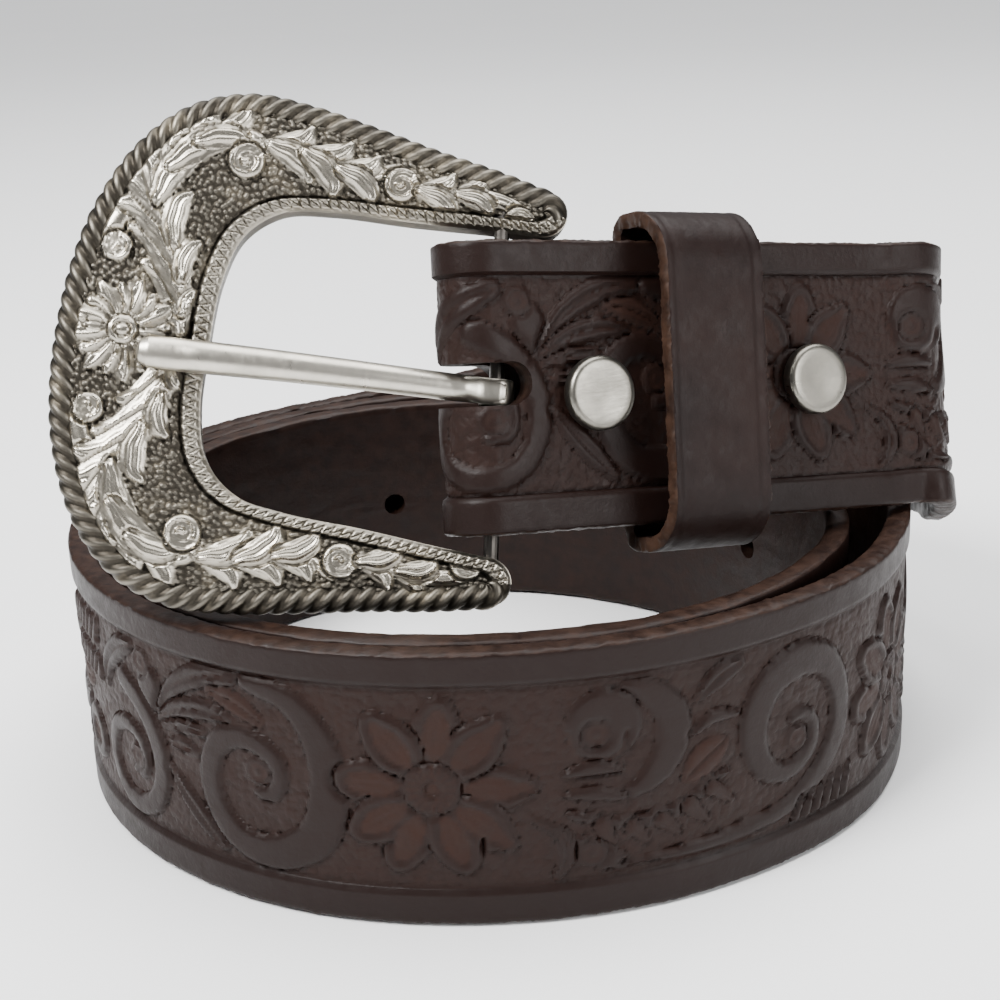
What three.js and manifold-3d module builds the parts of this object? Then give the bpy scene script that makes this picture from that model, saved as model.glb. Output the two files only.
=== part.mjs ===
import * as THREE from 'three';
import { mergeVertices } from 'three/addons/utils/BufferGeometryUtils.js';
import Module from 'manifold-3d';

// A western belt with a cast buckle, coiled on its edge on a table, in millimetres and degrees.
// The strap is one ribbon: a tab behind the buckle end, a loop round the heel bar, a straight raised
// stretch, a bend down over the coil's back, and then three turns that end at the tip.

// Strap
const STRAP_WIDTH = 38;
const LEATHER = 3.3;
const LAYER_GAP = 0.35;
const CLEARANCE = 0.3;

// Coil, and where the raised buckle end stands over it
const COIL_RADIUS = 63;
const END_PLACE = { across: -0.076, back: -0.705 };
const END_YAW = 27.7;
const END_LEAN = 15;
const END_DROP = 7.3;
const END_LENGTH = 80;
const LEAN_FADE = 40;
const STATION_STEP = 6.6;
const TURN_STEP = 5;
const TIP_TURN = 928;

// Fold round the heel bar, with the tab behind the raised end
const FOLD_START = 3.3;
const FOLD_SPACE = 5.4;
const FOLD_HOLD = 4.4;
const FOLD_TAPER = 5;
const TAB_LENGTH = 66;
const TAB_GAP = 3;
const SLOT_END = 13.5;
const SLOT_WIDTH = 5.6;
const SLOT_RISE = 0.5;

// Punched holes and the rounded tip
const HOLE_COUNT = 5;
const HOLE_RADIUS = 2;
const HOLE_SPACING = 25.4;
const FIRST_HOLE = 96.4;
const TIP_ROUND = 24;

// Snaps that close the tab
const SNAP_ROWS = [
  { along: 22.6, across: -1.2 },
  { along: 57.4, across: -0.3 },
];
const CAP_RADIUS = 4.9;
const CAP_HEIGHT = 2.3;
const POST_RADIUS = 1.6;
const SOCKET_RADIUS = 3.8;
const STUD_RADIUS = 4;
const STUD_HEIGHT = 1.5;

// Keeper loop
const KEEPER_PLACE = 37.2;
const KEEPER_WIDTH = 15.4;
const KEEPER_LEATHER = 2.2;
const KEEPER_ROOM = 5.7;
const KEEPER_SLACK = 1.5;

// Buckle
const BAR_PLACE = 11.4;
const BAR_RADIUS = 1;
const BAR_SKEW = 7;
const BAR_TILT = 1.2;
const BUCKLE_YAW = 6;
const BUCKLE_LEAN = 23.5;
const BUCKLE_TURN = -13.5;
const BUCKLE_SHIFT = -0.7;
const BUCKLE_DIP = 0.73;
const BUCKLE_REACH = 57.6;
const BUCKLE_HALF = 34;
const PLATE_BACK = -2.3;
const PLATE_DEPTH = 4.4;
const PLATE_BEVEL = 1.1;
const ROPE_RADIUS = 1.9;
const ROPE_LAY = 9.6;
const ROPE_STEP = 1.6;
const RELIEF = 0.9;

// Tongue
const TONGUE_LENGTH = 46.4;
const TONGUE_SKEW = 3.5;
const TONGUE_RADIUS = 2.15;
const TONGUE_FLAT = 0.85;
const RING_RADIUS = 2.35;
const RING_WIDTH = 3.6;

const { sin, cos, PI } = Math;
const radians = THREE.MathUtils.degToRad;
const vector = (x, y, z) => new THREE.Vector3(x, y, z);
const UP = vector(0, 0, 1);

const wasm = await Module();
wasm.setup();

// Coil rows: turn is the angle from +X, out is the radius as a share of the coil's, layer counts the
// turns that lie outside this one, and lift is the height over the table as a share of the width
const COIL_ROWS = [
  { turn: 4, out: 1.12, layer: 0, lift: 0.78 },
  { turn: 10, out: 1.15, layer: 0, lift: 0.73 },
  { turn: 20, out: 1.168, layer: 0, lift: 0.65 },
  { turn: 32, out: 1.175, layer: 0, lift: 0.56 },
  { turn: 45, out: 1.155, layer: 0, lift: 0.45 },
  { turn: 58, out: 1.111, layer: 0, lift: 0.33 },
  { turn: 72, out: 1.066, layer: 0, lift: 0.2 },
  { turn: 85, out: 1.037, layer: 0, lift: 0.1 },
  { turn: 98, out: 1.022, layer: 0, lift: 0.04 },
  { turn: 120, out: 1.02, layer: 0, lift: 0 },
  { turn: 140, out: 1.02, layer: 0, lift: 0 },
  { turn: 160, out: 1.0, layer: 0, lift: 0 },
  { turn: 180, out: 0.975, layer: 0, lift: 0 },
  { turn: 210, out: 0.973, layer: 0, lift: 0 },
  { turn: 240, out: 0.967, layer: 0, lift: 0 },
  { turn: 270, out: 0.954, layer: 0, lift: 0 },
  { turn: 300, out: 0.967, layer: 0, lift: 0 },
  { turn: 330, out: 0.998, layer: 0, lift: 0 },
  { turn: 360, out: 0.998, layer: 0, lift: 0 },
  { turn: 390, out: 0.966, layer: 0, lift: 0 },
  { turn: 420, out: 0.95, layer: 0, lift: 0 },
  { turn: 458, out: 1.022, layer: 1, lift: 0 },
  { turn: 480, out: 1.02, layer: 1, lift: 0 },
  { turn: 500, out: 1.02, layer: 1, lift: 0 },
  { turn: 520, out: 1.0, layer: 1, lift: 0 },
  { turn: 540, out: 0.975, layer: 1, lift: 0 },
  { turn: 570, out: 0.973, layer: 1, lift: 0 },
  { turn: 600, out: 0.967, layer: 1, lift: 0 },
  { turn: 630, out: 0.954, layer: 1, lift: 0 },
  { turn: 660, out: 0.965, layer: 1.05, lift: 0 },
  { turn: 690, out: 0.955, layer: 1.2, lift: 0 },
  { turn: 720, out: 0.9, layer: 1.4, lift: 0 },
  { turn: 750, out: 0.89, layer: 1.5, lift: 0 },
  { turn: 780, out: 0.92, layer: 1.8, lift: 0 },
  { turn: 818, out: 0.985, layer: 2, lift: 0 },
  { turn: 860, out: 1.02, layer: 2, lift: 0 },
  { turn: 880, out: 1.0, layer: 2, lift: 0 },
  { turn: 900, out: 0.975, layer: 2, lift: 0 },
  { turn: 930, out: 0.973, layer: 2, lift: 0 },
];

// Half of the buckle's outer outline and of its window, as shares of its reach and half height
const OUTER_ROWS = [
  { reach: 0.04, half: 0.83 },
  { reach: -0.067, half: 0.868 },
  { reach: -0.208, half: 0.905 },
  { reach: -0.368, half: 0.955 },
  { reach: -0.518, half: 0.995 },
  { reach: -0.654, half: 1 },
  { reach: -0.786, half: 0.915 },
  { reach: -0.889, half: 0.735 },
  { reach: -0.959, half: 0.48 },
  { reach: -0.989, half: 0.24 },
  { reach: -0.997, half: 0 },
];
const WINDOW_ROWS = [
  { reach: -0.654, half: 0 },
  { reach: -0.649, half: 0.25 },
  { reach: -0.617, half: 0.435 },
  { reach: -0.541, half: 0.55 },
  { reach: -0.434, half: 0.585 },
  { reach: -0.246, half: 0.6 },
  { reach: -0.086, half: 0.62 },
];
const END_CAP = { reach: 0.04, half: 0.73, radius: 0.1 };

// Raised ornament on the upper half, mirrored below. A stem is a bar bent along its three points, and
// a leaf is a flat drop: reach and half place it, turn points it, long and wide are its half sizes.
const STEM_ROWS = [
  { from: [-0.809, 0.1], by: [-0.734, 0.42], to: [-0.64, 0.6] },
  { from: [-0.903, 0.28], by: [-0.875, 0.5], to: [-0.771, 0.68] },
  { from: [-0.64, 0.86], by: [-0.48, 0.86], to: [-0.34, 0.74] },
  { from: [-0.312, 0.82], by: [-0.171, 0.8], to: [-0.03, 0.7] },
];
const LEAF_ROWS = [
  { reach: -0.847, half: 0.36, turn: 100, long: 5, wide: 1.7 },
  { reach: -0.771, half: 0.3, turn: 70, long: 4.5, wide: 1.5 },
  { reach: -0.847, half: 0.6, turn: 62, long: 5, wide: 1.7 },
  { reach: -0.725, half: 0.8, turn: 35, long: 5, wide: 1.7 },
  { reach: -0.687, half: 0.68, turn: 20, long: 2.6, wide: 2.6 },
  { reach: -0.546, half: 0.7, turn: 0, long: 4.5, wide: 1.5 },
  { reach: -0.424, half: 0.86, turn: -12, long: 4.5, wide: 1.5 },
  { reach: -0.312, half: 0.71, turn: 0, long: 2.4, wide: 2.4 },
  { reach: -0.18, half: 0.7, turn: 14, long: 4, wide: 1.3 },
  { reach: -0.011, half: 0.7, turn: 0, long: 2.4, wide: 2.4 },
];
const FLOWER = { reach: -0.87, petals: 8, petal: 2.9, wide: 1.25, eye: 1.5 };

// The buckle end's axes: along runs from the fold to the bend, across is up the width, out is the face
function endAxes(yaw, lean, turn) {
  const out = vector(sin(yaw) * cos(lean), -cos(yaw) * cos(lean), sin(lean));
  const level = UP.clone().cross(out).normalize();
  const rise = out.clone().cross(level);
  const along = level.clone().multiplyScalar(cos(turn)).addScaledVector(rise, sin(turn));
  const across = rise.clone().multiplyScalar(cos(turn)).addScaledVector(level, -sin(turn));
  return { along, across, out };
}

const END = endAxes(radians(END_YAW), radians(END_LEAN), radians(-END_DROP));
const BUCKLE = endAxes(radians(BUCKLE_YAW), radians(BUCKLE_LEAN), radians(BUCKLE_TURN));
const LAYER_PITCH = LEATHER + LAYER_GAP;
const LOOP_RADIUS = (FOLD_SPACE + LEATHER) / 2;
const LOOP_CENTRE = FOLD_START + LOOP_RADIUS + LEATHER / 2;
const BAR_DEPTH = LEATHER + FOLD_SPACE / 2;

// The raised end is as high as the buckle holds it: the lowest point of the frame's rope edge comes a
// little below the coil's rims, just outside them
const END_ORIGIN = vector(COIL_RADIUS * END_PLACE.across, COIL_RADIUS * END_PLACE.back, endHeight());

function endHeight() {
  const drops = OUTER_ROWS.map(({ reach, half }) => BUCKLE.along.z * reach * BUCKLE_REACH
    - BUCKLE.across.z * half * BUCKLE_HALF);
  const bar = END.along.z * BAR_PLACE - END.out.z * BAR_DEPTH + BUCKLE.across.z * BUCKLE_SHIFT;
  return STRAP_WIDTH - BUCKLE_DIP - Math.min(...drops) - bar;
}

function endPoint(along, across, out) {
  return END_ORIGIN.clone()
    .addScaledVector(END.along, along)
    .addScaledVector(END.across, across)
    .addScaledVector(END.out, out);
}

function endMatrix(along, across, out) {
  const matrix = new THREE.Matrix4().makeBasis(END.along, END.across, END.out);
  return matrix.setPosition(endPoint(along, across, out));
}

const BAR_CENTRE = endPoint(BAR_PLACE, 0, -BAR_DEPTH).addScaledVector(BUCKLE.across, BUCKLE_SHIFT);
const BUCKLE_MATRIX = new THREE.Matrix4()
  .makeBasis(BUCKLE.along, BUCKLE.across, BUCKLE.out)
  .setPosition(BAR_CENTRE);

// A smooth curve through one column of the rows, flat wherever the column turns round
function columnAt(rows, column, turn) {
  const slope = (row) => {
    if (row < 1 || row > rows.length - 2) return 0;
    const before = (rows[row][column] - rows[row - 1][column]) / (rows[row].turn - rows[row - 1].turn);
    const after = (rows[row + 1][column] - rows[row][column]) / (rows[row + 1].turn - rows[row].turn);
    return before * after <= 0 ? 0 : (2 * before * after) / (before + after);
  };
  const next = Math.max(1, rows.findIndex((row) => row.turn >= turn));
  const [from, to] = [rows[next - 1], rows[next]];
  const span = to.turn - from.turn;
  const t = (turn - from.turn) / span;
  const blend = t * t * (3 - 2 * t);
  const ease = t * (1 - t) * (1 - t) * slope(next - 1) - t * t * (1 - t) * slope(next);
  return from[column] * (1 - blend) + to[column] * blend + ease * span;
}

function coilPoint(turn) {
  const radius = COIL_RADIUS * columnAt(COIL_ROWS, 'out', turn)
    - LAYER_PITCH * columnAt(COIL_ROWS, 'layer', turn);
  const height = STRAP_WIDTH * (0.5 + columnAt(COIL_ROWS, 'lift', turn));
  return vector(radius * cos(radians(turn)), radius * sin(radians(turn)), height);
}

// The route of the strap's middle line, with its width at each station: across points up the width,
// and width is a share of the full width
class StrapRoute extends THREE.Curve {
  constructor(stations) {
    super();
    this.stations = stations;
  }

  getPoint(t) {
    const place = t * (this.stations.length - 1);
    const index = Math.min(Math.floor(place), this.stations.length - 2);
    return this.stations[index].point.clone().lerp(this.stations[index + 1].point, place - index);
  }

  getSpacedPoints() {
    return this.stations.map((station) => station.point.clone());
  }

  computeFrenetFrames() {
    const last = this.stations.length - 1;
    const tangents = this.stations.map((_, index) => this.stations[Math.min(index + 1, last)].point.clone()
      .sub(this.stations[Math.max(index - 1, 0)].point).normalize());
    const binormals = this.stations.map((station, index) => station.across.clone()
      .addScaledVector(tangents[index], -station.across.dot(tangents[index])).setLength(station.width));
    const normals = tangents.map((tangent, index) => binormals[index].clone().cross(tangent).normalize());
    return { tangents, normals, binormals };
  }
}

function foldStations() {
  const stations = [];
  const place = (along, depth) => stations.push({
    point: endPoint(along, 0, depth), across: END.across, width: 1,
  });
  const tabDepth = -LEATHER / 2 - LEATHER - TAB_GAP;
  const loopDepth = -LEATHER / 2 - 2 * LOOP_RADIUS;
  const taperEnd = LOOP_CENTRE + FOLD_HOLD + FOLD_TAPER;
  const straightSteps = 4;
  for (let step = 0; step < straightSteps; step += 1) {
    place(TAB_LENGTH + (taperEnd - TAB_LENGTH) * step / straightSteps, tabDepth);
  }
  const taperSteps = 5;
  for (let step = 0; step < taperSteps; step += 1) {
    const t = THREE.MathUtils.smoothstep(step, 0, taperSteps);
    place(taperEnd - FOLD_TAPER * step / taperSteps, tabDepth + (loopDepth - tabDepth) * t);
  }
  const loopSteps = 10;
  for (let step = 0; step <= loopSteps; step += 1) {
    const angle = PI * step / loopSteps;
    place(LOOP_CENTRE - LOOP_RADIUS * sin(angle), -LEATHER / 2 - LOOP_RADIUS * (1 + cos(angle)));
  }
  return stations;
}

function coilStations() {
  const guides = [];
  for (let along = LOOP_CENTRE; along < END_LENGTH - 1; along += (END_LENGTH - LOOP_CENTRE) / 8) {
    guides.push(endPoint(along, 0, -LEATHER / 2));
  }
  guides.push(endPoint(END_LENGTH, 0, -LEATHER / 2));
  for (let turn = COIL_ROWS[0].turn; turn < TIP_TURN - TURN_STEP / 2; turn += TURN_STEP) {
    guides.push(coilPoint(turn));
  }
  guides.push(coilPoint(TIP_TURN));
  const curve = new THREE.CatmullRomCurve3(guides, false, 'centripetal');
  curve.arcLengthDivisions = 4000;
  const length = curve.getLength();
  const body = length - TIP_ROUND;
  const steps = Math.round(body / STATION_STEP);
  const stations = [];
  const place = (run, width) => {
    const leant = TAB_LENGTH - LOOP_CENTRE;
    const fade = THREE.MathUtils.smoothstep(run, leant, leant + LEAN_FADE);
    const lean = radians(END_LEAN) * (1 - fade);
    const outward = curve.getTangentAt(run / length).cross(UP).normalize();
    const across = UP.clone().multiplyScalar(cos(lean)).addScaledVector(outward, -sin(lean));
    stations.push({ point: curve.getPointAt(run / length), across, width });
  };
  for (let step = 1; step <= steps; step += 1) {
    place(body * step / steps, 1);
  }
  const tipSteps = 8;
  const blunt = radians(80);
  for (let step = 1; step <= tipSteps; step += 1) {
    const angle = blunt * step / tipSteps;
    place(body + TIP_ROUND * sin(angle) / sin(blunt), cos(angle));
  }
  return stations;
}

const ROUTE = new StrapRoute([...foldStations(), ...coilStations()]);

// Closed meshes to solids and back
function solidOf(geometry) {
  const plain = geometry.clone();
  plain.deleteAttribute('normal');
  plain.deleteAttribute('uv');
  const merged = mergeVertices(plain, 1e-4);
  return new wasm.Manifold(new wasm.Mesh({
    numProp: 3,
    vertProperties: new Float32Array(merged.attributes.position.array),
    triVerts: new Uint32Array(merged.index.array),
  }));
}

function geometryOf(solid) {
  const mesh = solid.getMesh();
  const geometry = new THREE.BufferGeometry();
  geometry.setAttribute('position', new THREE.BufferAttribute(new Float32Array(mesh.vertProperties), 3));
  geometry.setIndex(new THREE.BufferAttribute(new Uint32Array(mesh.triVerts), 1));
  geometry.computeVertexNormals();
  return geometry;
}

function joined(geometries) {
  return geometries.map(solidOf).reduce((whole, piece) => whole.add(piece));
}

function cutBy(solid, geometries) {
  return geometries.map(solidOf).reduce((whole, piece) => whole.subtract(piece), solid);
}

function cylinder(radius, length, sides) {
  return new THREE.CylinderGeometry(radius, radius, length, sides);
}

function outline(points) {
  return new THREE.Shape(points.map(([x, y]) => new THREE.Vector2(x, y)));
}

// Leather strap
function ribbon() {
  const [w, h] = [LEATHER / 2, STRAP_WIDTH / 2];
  const section = outline([[w, -h], [w, h], [-w, h], [-w, -h]]);
  return new THREE.ExtrudeGeometry(section, {
    steps: ROUTE.stations.length - 1, extrudePath: ROUTE, bevelEnabled: false,
  });
}

// Where a length back from the tip falls on the strap, as a frame: X along, Y across, Z out
function tipMatrix(back) {
  const { tangents, normals, binormals } = ROUTE.computeFrenetFrames();
  const { stations } = ROUTE;
  let index = stations.length - 1;
  let left = back;
  let step = stations[index].point.distanceTo(stations[index - 1].point);
  while (left > step) {
    left -= step;
    index -= 1;
    step = stations[index].point.distanceTo(stations[index - 1].point);
  }
  const point = stations[index].point.clone().lerp(stations[index - 1].point, left / step);
  const out = normals[index].clone().negate();
  return new THREE.Matrix4().makeBasis(tangents[index], binormals[index], out).setPosition(point);
}

function punchedHoles() {
  const holes = [];
  for (let hole = 0; hole < HOLE_COUNT; hole += 1) {
    const punch = cylinder(HOLE_RADIUS, LEATHER + LAYER_GAP, 14).rotateX(PI / 2);
    holes.push(punch.applyMatrix4(tipMatrix(FIRST_HOLE + hole * HOLE_SPACING)));
  }
  return holes;
}

function tongueSlot() {
  const half = SLOT_WIDTH / 2;
  const shape = new THREE.Shape();
  shape.moveTo(FOLD_START - 1, -half);
  shape.lineTo(SLOT_END - half, -half);
  shape.absarc(SLOT_END - half, 0, half, -PI / 2, PI / 2, false);
  shape.lineTo(FOLD_START - 1, half);
  const depth = 2 * LEATHER + FOLD_SPACE + 4;
  const slot = new THREE.ExtrudeGeometry(shape, { depth, bevelEnabled: false, curveSegments: 8 });
  return slot.applyMatrix4(endMatrix(0, SLOT_RISE, 2 - depth));
}

function snapHoles() {
  const depth = 2 * LEATHER + TAB_GAP + 2;
  return SNAP_ROWS.map(({ along, across }) => cylinder(POST_RADIUS + CLEARANCE, depth, 16)
    .rotateX(PI / 2).applyMatrix4(endMatrix(along, across, 1 - depth / 2)));
}

function strapSolid() {
  return cutBy(solidOf(ribbon()), [tongueSlot(), ...snapHoles(), ...punchedHoles()]);
}

// Keeper loop: a band round the front layer, held between the layers, with room in front for the tip
function keeperOutline(Kind, inset) {
  const back = -(LEATHER + CLEARANCE + KEEPER_LEATHER) + inset;
  const front = KEEPER_ROOM + KEEPER_LEATHER - inset;
  const half = STRAP_WIDTH / 2 + KEEPER_SLACK + KEEPER_LEATHER - inset;
  const round = front - inset / 2;
  const tight = 0.6 * KEEPER_SLACK + KEEPER_LEATHER - inset;
  const path = new Kind();
  path.moveTo(front, half - round);
  path.absarc(front - round, half - round, round, 0, PI / 2, false);
  path.absarc(back + tight, half - tight, tight, PI / 2, PI, false);
  path.absarc(back + tight, -half + tight, tight, PI, 3 * PI / 2, false);
  path.absarc(front - round, -half + round, round, 3 * PI / 2, 2 * PI, false);
  return path;
}

function keeperGeometry() {
  const shape = keeperOutline(THREE.Shape, 0);
  shape.holes.push(keeperOutline(THREE.Path, KEEPER_LEATHER));
  const band = new THREE.ExtrudeGeometry(shape, {
    depth: KEEPER_WIDTH, bevelEnabled: false, curveSegments: 7,
  });
  const turned = new THREE.Matrix4().makeBasis(END.out, END.across, END.along.clone().negate());
  turned.setPosition(endPoint(KEEPER_PLACE + KEEPER_WIDTH / 2, 0, 0));
  return band.applyMatrix4(turned);
}

// A turned piece: profile rows of radius and height, closed on the axis, standing along out
function turnedPiece(rows, { along, across }, sides) {
  const profile = rows.map(([radius, height]) => new THREE.Vector2(radius, height));
  return new THREE.LatheGeometry(profile, sides).rotateX(PI / 2).applyMatrix4(endMatrix(along, across, 0));
}

function capGeometry(place) {
  const top = CLEARANCE + CAP_HEIGHT;
  const socketTop = -LEATHER - CLEARANCE;
  const socketEnd = -LEATHER - TAB_GAP + CLEARANCE;
  return turnedPiece([
    [0, socketEnd], [SOCKET_RADIUS, socketEnd], [SOCKET_RADIUS, socketTop], [POST_RADIUS, socketTop],
    [POST_RADIUS, CLEARANCE], [CAP_RADIUS - 0.5, CLEARANCE], [CAP_RADIUS, CLEARANCE + 0.5],
    [CAP_RADIUS, top - 0.4], [CAP_RADIUS - 0.4, top], [0, top],
  ], place, 24);
}

function studGeometry(place) {
  const head = -LEATHER - TAB_GAP;
  const seat = head - LEATHER - CLEARANCE;
  const bottom = seat - STUD_HEIGHT;
  return turnedPiece([
    [0, bottom], [STUD_RADIUS - 0.6, bottom], [STUD_RADIUS, bottom + 0.6], [STUD_RADIUS, seat],
    [POST_RADIUS, seat], [POST_RADIUS, head], [0, head],
  ], place, 20);
}

// The heel bar stands a little askew in the frame, in line with the strap's fold
function onBar(geometry) {
  return geometry.rotateX(radians(BAR_TILT)).rotateZ(radians(BAR_SKEW));
}

// Buckle frame
function rowPoints(rows) {
  return rows.map((row) => new THREE.Vector2(row.reach * BUCKLE_REACH, row.half * BUCKLE_HALF));
}

function mirrored(points) {
  return [...points, ...points.slice(0, -1).reverse().map((point) => new THREE.Vector2(point.x, -point.y))];
}

function frameOutline() {
  const cap = new THREE.Vector2(END_CAP.reach * BUCKLE_REACH, END_CAP.half * BUCKLE_HALF);
  const radius = END_CAP.radius * BUCKLE_HALF;
  const roundEnd = (y) => new THREE.EllipseCurve(cap.x, y, radius, radius, -PI / 2, PI / 2).getPoints(6);
  const outer = new THREE.SplineCurve(mirrored(rowPoints(OUTER_ROWS))).getPoints(44);
  const inner = new THREE.SplineCurve(mirrored(rowPoints(WINDOW_ROWS).reverse()).reverse()).getPoints(28);
  const points = [...outer, ...roundEnd(-cap.y), ...inner, ...roundEnd(cap.y)];
  return new THREE.Shape(points.filter((point, index) => {
    const before = points[(index + points.length - 1) % points.length];
    return point.distanceTo(before) > 0.25;
  }));
}

function framePlate() {
  const plate = new THREE.ExtrudeGeometry(frameOutline(), {
    depth: PLATE_DEPTH - 2 * PLATE_BEVEL,
    bevelEnabled: true,
    bevelThickness: PLATE_BEVEL,
    bevelSize: 1.5 * PLATE_BEVEL,
    bevelOffset: -1.5 * PLATE_BEVEL,
    bevelSegments: 2,
  });
  return plate.translate(0, 0, PLATE_BACK + PLATE_BEVEL);
}

// A bar of square section, twisted as it follows the outer edge, gives the rope its strands
class RopeRoute extends THREE.CatmullRomCurve3 {
  computeFrenetFrames(steps, closed) {
    const frames = super.computeFrenetFrames(steps, closed);
    const turns = this.getLength() / ROPE_LAY;
    frames.tangents.forEach((tangent, index) => {
      const side = tangent.clone().cross(UP).normalize();
      const angle = 2 * PI * turns * index / steps;
      frames.normals[index] = side.clone().applyAxisAngle(tangent, angle);
      frames.binormals[index] = tangent.clone().cross(frames.normals[index]);
    });
    return frames;
  }
}

function ropeEdge() {
  const centre = new THREE.Vector2(-0.42 * BUCKLE_REACH, 0);
  const guides = mirrored(rowPoints(OUTER_ROWS)).map((point) => {
    const inset = point.clone().sub(centre).setLength(ROPE_RADIUS);
    return vector(point.x - inset.x, point.y - inset.y, PLATE_BACK + PLATE_DEPTH / 2);
  });
  const route = new RopeRoute(guides, false, 'centripetal');
  const r = ROPE_RADIUS;
  const section = outline([[r, 0], [0, r], [-r, 0], [0, -r]]);
  return new THREE.ExtrudeGeometry(section, {
    steps: Math.round(route.getLength() / ROPE_STEP), extrudePath: route, bevelEnabled: false,
  });
}

function onBuckle([reach, half], side, height) {
  return vector(reach * BUCKLE_REACH, side * half * BUCKLE_HALF, height);
}

function reliefPieces() {
  const top = PLATE_BACK + PLATE_DEPTH;
  const pieces = [];
  for (const side of [1, -1]) {
    for (const { from, by, to } of STEM_ROWS) {
      const level = top - 0.5;
      const curve = new THREE.QuadraticBezierCurve3(
        onBuckle(from, side, level), onBuckle(by, side, level), onBuckle(to, side, level));
      const section = new THREE.Shape().absarc(0, 0, RELIEF + 0.5, 0, 2 * PI, false);
      pieces.push(new THREE.ExtrudeGeometry(section, {
        steps: 6, extrudePath: curve, bevelEnabled: false, curveSegments: 3,
      }));
    }
    for (const { reach, half, turn, long, wide } of LEAF_ROWS) {
      const place = onBuckle([reach, half], side, top);
      pieces.push(new THREE.SphereGeometry(1, 8, 4)
        .rotateX(PI / 2).scale(long, wide, RELIEF)
        .rotateZ(side * radians(turn)).translate(place.x, place.y, place.z));
    }
  }
  for (let petal = 0; petal < FLOWER.petals; petal += 1) {
    pieces.push(new THREE.SphereGeometry(1, 8, 4)
      .rotateX(PI / 2).scale(FLOWER.petal, FLOWER.wide, RELIEF)
      .translate(FLOWER.petal * 1.15, 0, 0)
      .rotateZ(2 * PI * (petal + 0.5) / FLOWER.petals)
      .translate(FLOWER.reach * BUCKLE_REACH, 0, top));
  }
  return pieces;
}

function frameSolid() {
  const bore = onBar(cylinder(BAR_RADIUS + CLEARANCE, 2 * (barHalf() + CLEARANCE), 16));
  const whole = cutBy(joined([framePlate(), ropeEdge(), ...reliefPieces()]), [bore]);
  return whole.transform(BUCKLE_MATRIX.elements);
}

function barHalf() {
  return 0.76 * BUCKLE_HALF;
}

function barGeometry() {
  return onBar(cylinder(BAR_RADIUS, 2 * barHalf(), 16)).applyMatrix4(BUCKLE_MATRIX);
}

// Tongue: a tapered round bar from the ring on the heel bar to its rest on the frame
function tongueSolid() {
  const rows = [
    [0, 0.02], [0.55, 0.024], [0.8, 0.05], [0.86, 0.3], [0.93, 0.6], [1, 0.9], [0.94, 0.965], [0.6, 0.993], [0, 1],
  ];
  const profile = rows.map(([radius, reach]) => new THREE.Vector2(
    radius * TONGUE_RADIUS, reach * TONGUE_LENGTH));
  const rest = PLATE_BACK + PLATE_DEPTH + RELIEF - CLEARANCE + TONGUE_RADIUS * TONGUE_FLAT;
  const bar = new THREE.LatheGeometry(profile, 12).rotateZ(PI / 2).scale(1, 1, TONGUE_FLAT);
  const position = bar.attributes.position;
  for (let index = 0; index < position.count; index += 1) {
    const share = -position.getX(index) / TONGUE_LENGTH;
    position.setZ(index, position.getZ(index) + rest * sin(PI / 2 * Math.min(1, share * 1.15)));
  }
  bar.rotateZ(radians(TONGUE_SKEW));
  const inner = BAR_RADIUS + CLEARANCE;
  const ringRows = [
    [inner, -RING_WIDTH / 2], [RING_RADIUS, -RING_WIDTH / 2], [RING_RADIUS, RING_WIDTH / 2],
    [inner, RING_WIDTH / 2], [inner, -RING_WIDTH / 2],
  ];
  const ring = onBar(new THREE.LatheGeometry(ringRows.map(([x, y]) => new THREE.Vector2(x, y)), 20));
  const whole = cutBy(joined([bar, ring]), [onBar(cylinder(inner, RING_WIDTH + 2, 20))]);
  return whole.transform(BUCKLE_MATRIX.elements);
}

// Materials
const leather = new THREE.MeshStandardMaterial({ color: '#3b241c', roughness: 0.62, metalness: 0 });
const keeperLeather = new THREE.MeshStandardMaterial({ color: '#33221e', roughness: 0.5, metalness: 0 });
const silver = new THREE.MeshStandardMaterial({ color: '#a9a496', roughness: 0.34, metalness: 1 });
const satin = new THREE.MeshStandardMaterial({ color: '#b7b2a6', roughness: 0.3, metalness: 1 });

const belt = new THREE.Group();

function addPiece(name, geometry, material) {
  const mesh = new THREE.Mesh(geometry, material);
  mesh.name = name;
  belt.add(mesh);
}

addPiece('belt_strap', geometryOf(strapSolid()), leather);
addPiece('keeper_loop', keeperGeometry(), keeperLeather);
SNAP_ROWS.forEach((place, index) => {
  addPiece(`snap_cap_${index + 1}`, capGeometry(place), satin);
  addPiece(`snap_stud_${index + 1}`, studGeometry(place), satin);
});
addPiece('buckle_frame', geometryOf(frameSolid()), silver);
addPiece('heel_bar', barGeometry(), satin);
addPiece('buckle_tongue', geometryOf(tongueSolid()), satin);

// The origin is the middle of the footprint, on the table
const box = new THREE.Box3().setFromObject(belt);
const middle = box.getCenter(vector(0, 0, 0));
belt.position.set(-middle.x, -middle.y, -box.min.z);

export default belt;
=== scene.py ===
"""Visual model of a coiled western belt: tooled strap, cast buckle with a rope edge, keeper and snaps.

Lengths in the shape functions are millimetres in the axes of the buckle, the strap's end or the row. placed
turns them into metres."""

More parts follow.
